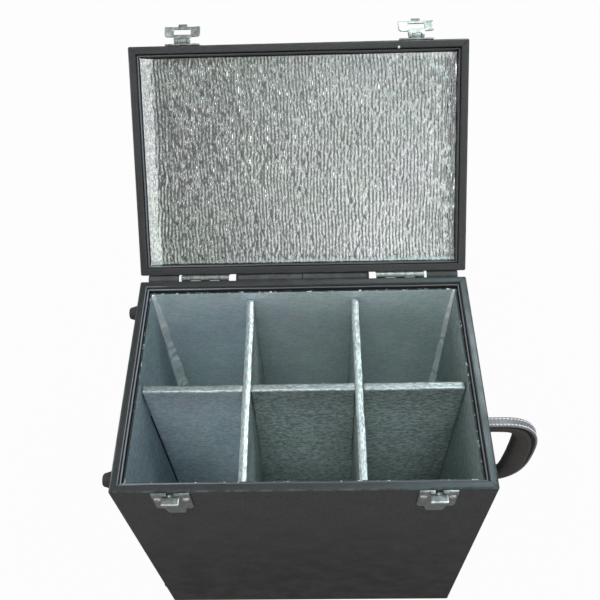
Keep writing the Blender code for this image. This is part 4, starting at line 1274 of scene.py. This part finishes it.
thread = surface("stitching thread", shader_group("thread", twisted_thread), {}, 0.5, 0.0002)
pattern = start_rod("stitch bar", 8, STITCH_RADIUS, STITCH_LENGTH, (0, 0, 0))
pick_all()
bevel(0.0004, 2)
close_mesh()
stitches = []
walked, due = 0.0, STITCH_PITCH / 2
for (place, inward), (following, turned_to) in zip(ROUTE, ROUTE[1:]):
    length = (following - place).length
    along = (following - place).normalized()
    turn = Matrix((along, Vector((0, 1, 0)), along.cross(Vector((0, 1, 0))))).transposed().to_4x4()
    while due < walked + length:
        share = (due - walked) / length
        into = inward.lerp(turned_to, share).normalized()
        for row in (-1, 1):
            seat = place.lerp(following, share) + Vector((0, row * STITCH_ROW, 0)) - into * STITCH_SUNK
            slant = Matrix.Rotation(row * STITCH_SLANT, 4, "Z")
            stitch = copied("stitch", pattern.data)
            stitch.data.transform(Matrix.Translation(seat) @ turn @ slant)
            stitches.append(stitch)
        due += STITCH_PITCH
    walked += length
bpy.data.objects.remove(pattern)
take(*stitches)
bpy.ops.object.join()
stitches[0].name = "strap_stitches"
settle(stitches[0], "handle", "handle_leather", thread, angle=50)

# Grip
# Foam under a second leather, drawn tight to the strap and full towards the fingers. The
# leather is gathered a little on the inside of the bow.
FINGER_REACH = 0.2150
grip = merged_copy("grip_leather", "handle_grip", flat=0)
bpy.ops.mesh.tris_convert_to_quads(face_threshold=math.radians(50), shape_threshold=math.radians(50))
modify(grip, "SUBSURF", levels=2, render_levels=2)
apply_all(grip)
outward = [Vector(corner.normal) for corner in grip.data.vertices]
for corner, out in zip(grip.data.vertices, outward):
    off = corner.co - Vector((BOW_START, 0, HANDLE_CENTRE))
    around = math.atan2(off.z, off.x)
    gather = ripple(around * 22, corner.co.y * 90, 2) * 0.6 + ripple(around * 60, corner.co.y * 140, 4) * 0.4
    inner = max(0.0, min(1.0, (FINGER_REACH - corner.co.x) / 0.02)) if abs(off.z) < 0.05 else 0.25
    corner.co += out * gather * 0.0005 * inner
settle(grip, "handle", "handle_leather", grip_skin, "handle_grip", angle=50)

# Core, brackets and pins
# Blued spring steel between the two leathers, ending in an eye at each bracket.
dress(plated("blued steel", 0.035, 0.037, 0.042), "handle_core")
for end in BRACKETS:
    fitting(end + "_handle_bracket", "body", 0.0003)
    fitting(end + "_handle_pin", "body", 0.0003)

# Leather hinge strips
# Thin leather glued to the back of the box and of the lid, beside and between the hinges,
# so that no light shows through when the lid stands open.
STRIP = 0.0005
STRIP_LEVELS = (0.3000, 0.3060, 0.3115, 0.3135)
STRIP_LID_LEVELS = (0.3171, 0.3191, 0.3246, 0.3306)
HINGE_STRIPS = {"left": (-0.1440, -0.1130), "middle": (-0.0670, 0.0670), "right": (0.1130, 0.1440)}


def hinge_strip(name, left, right):
    """A strip laid up the back of the box, over the hinge line and down the back of the lid."""
    behind = HALF_DEPTH + 0.0004
    path = [Vector((0, behind, z)) for z in STRIP_LEVELS]
    path.append(LID_AXIS - Vector((0, 0.0004, 0.0002)))
    path += [OPEN @ Vector((0, behind, z)) for z in STRIP_LID_LEVELS]
    first = (path[0] + path[1]) / 2 + Vector(((left + right) / 2, 0, 0))
    strip = start_sheet(name, (right - left, (path[1] - path[0]).length), first, (math.pi / 2, 0, 0))
    pick("edges", lambda edge: all(abs(corner.co.z - path[1].z) < 1e-5 for corner in edge.verts))
    for before, after in zip(path[1:], path[2:]):
        push_out(after - before)
    face_out()
    modify(strip, "SOLIDIFY", thickness=STRIP, offset=0)
    modify(strip, "SUBSURF", levels=2, render_levels=2)
    apply_all(strip)
    strip.data.materials.append(body_skin)
    strip.data.shade_smooth()
    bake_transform(strip)


for side, (left, right) in HINGE_STRIPS.items():
    hinge_strip(side + "_hinge_strip", left, right)
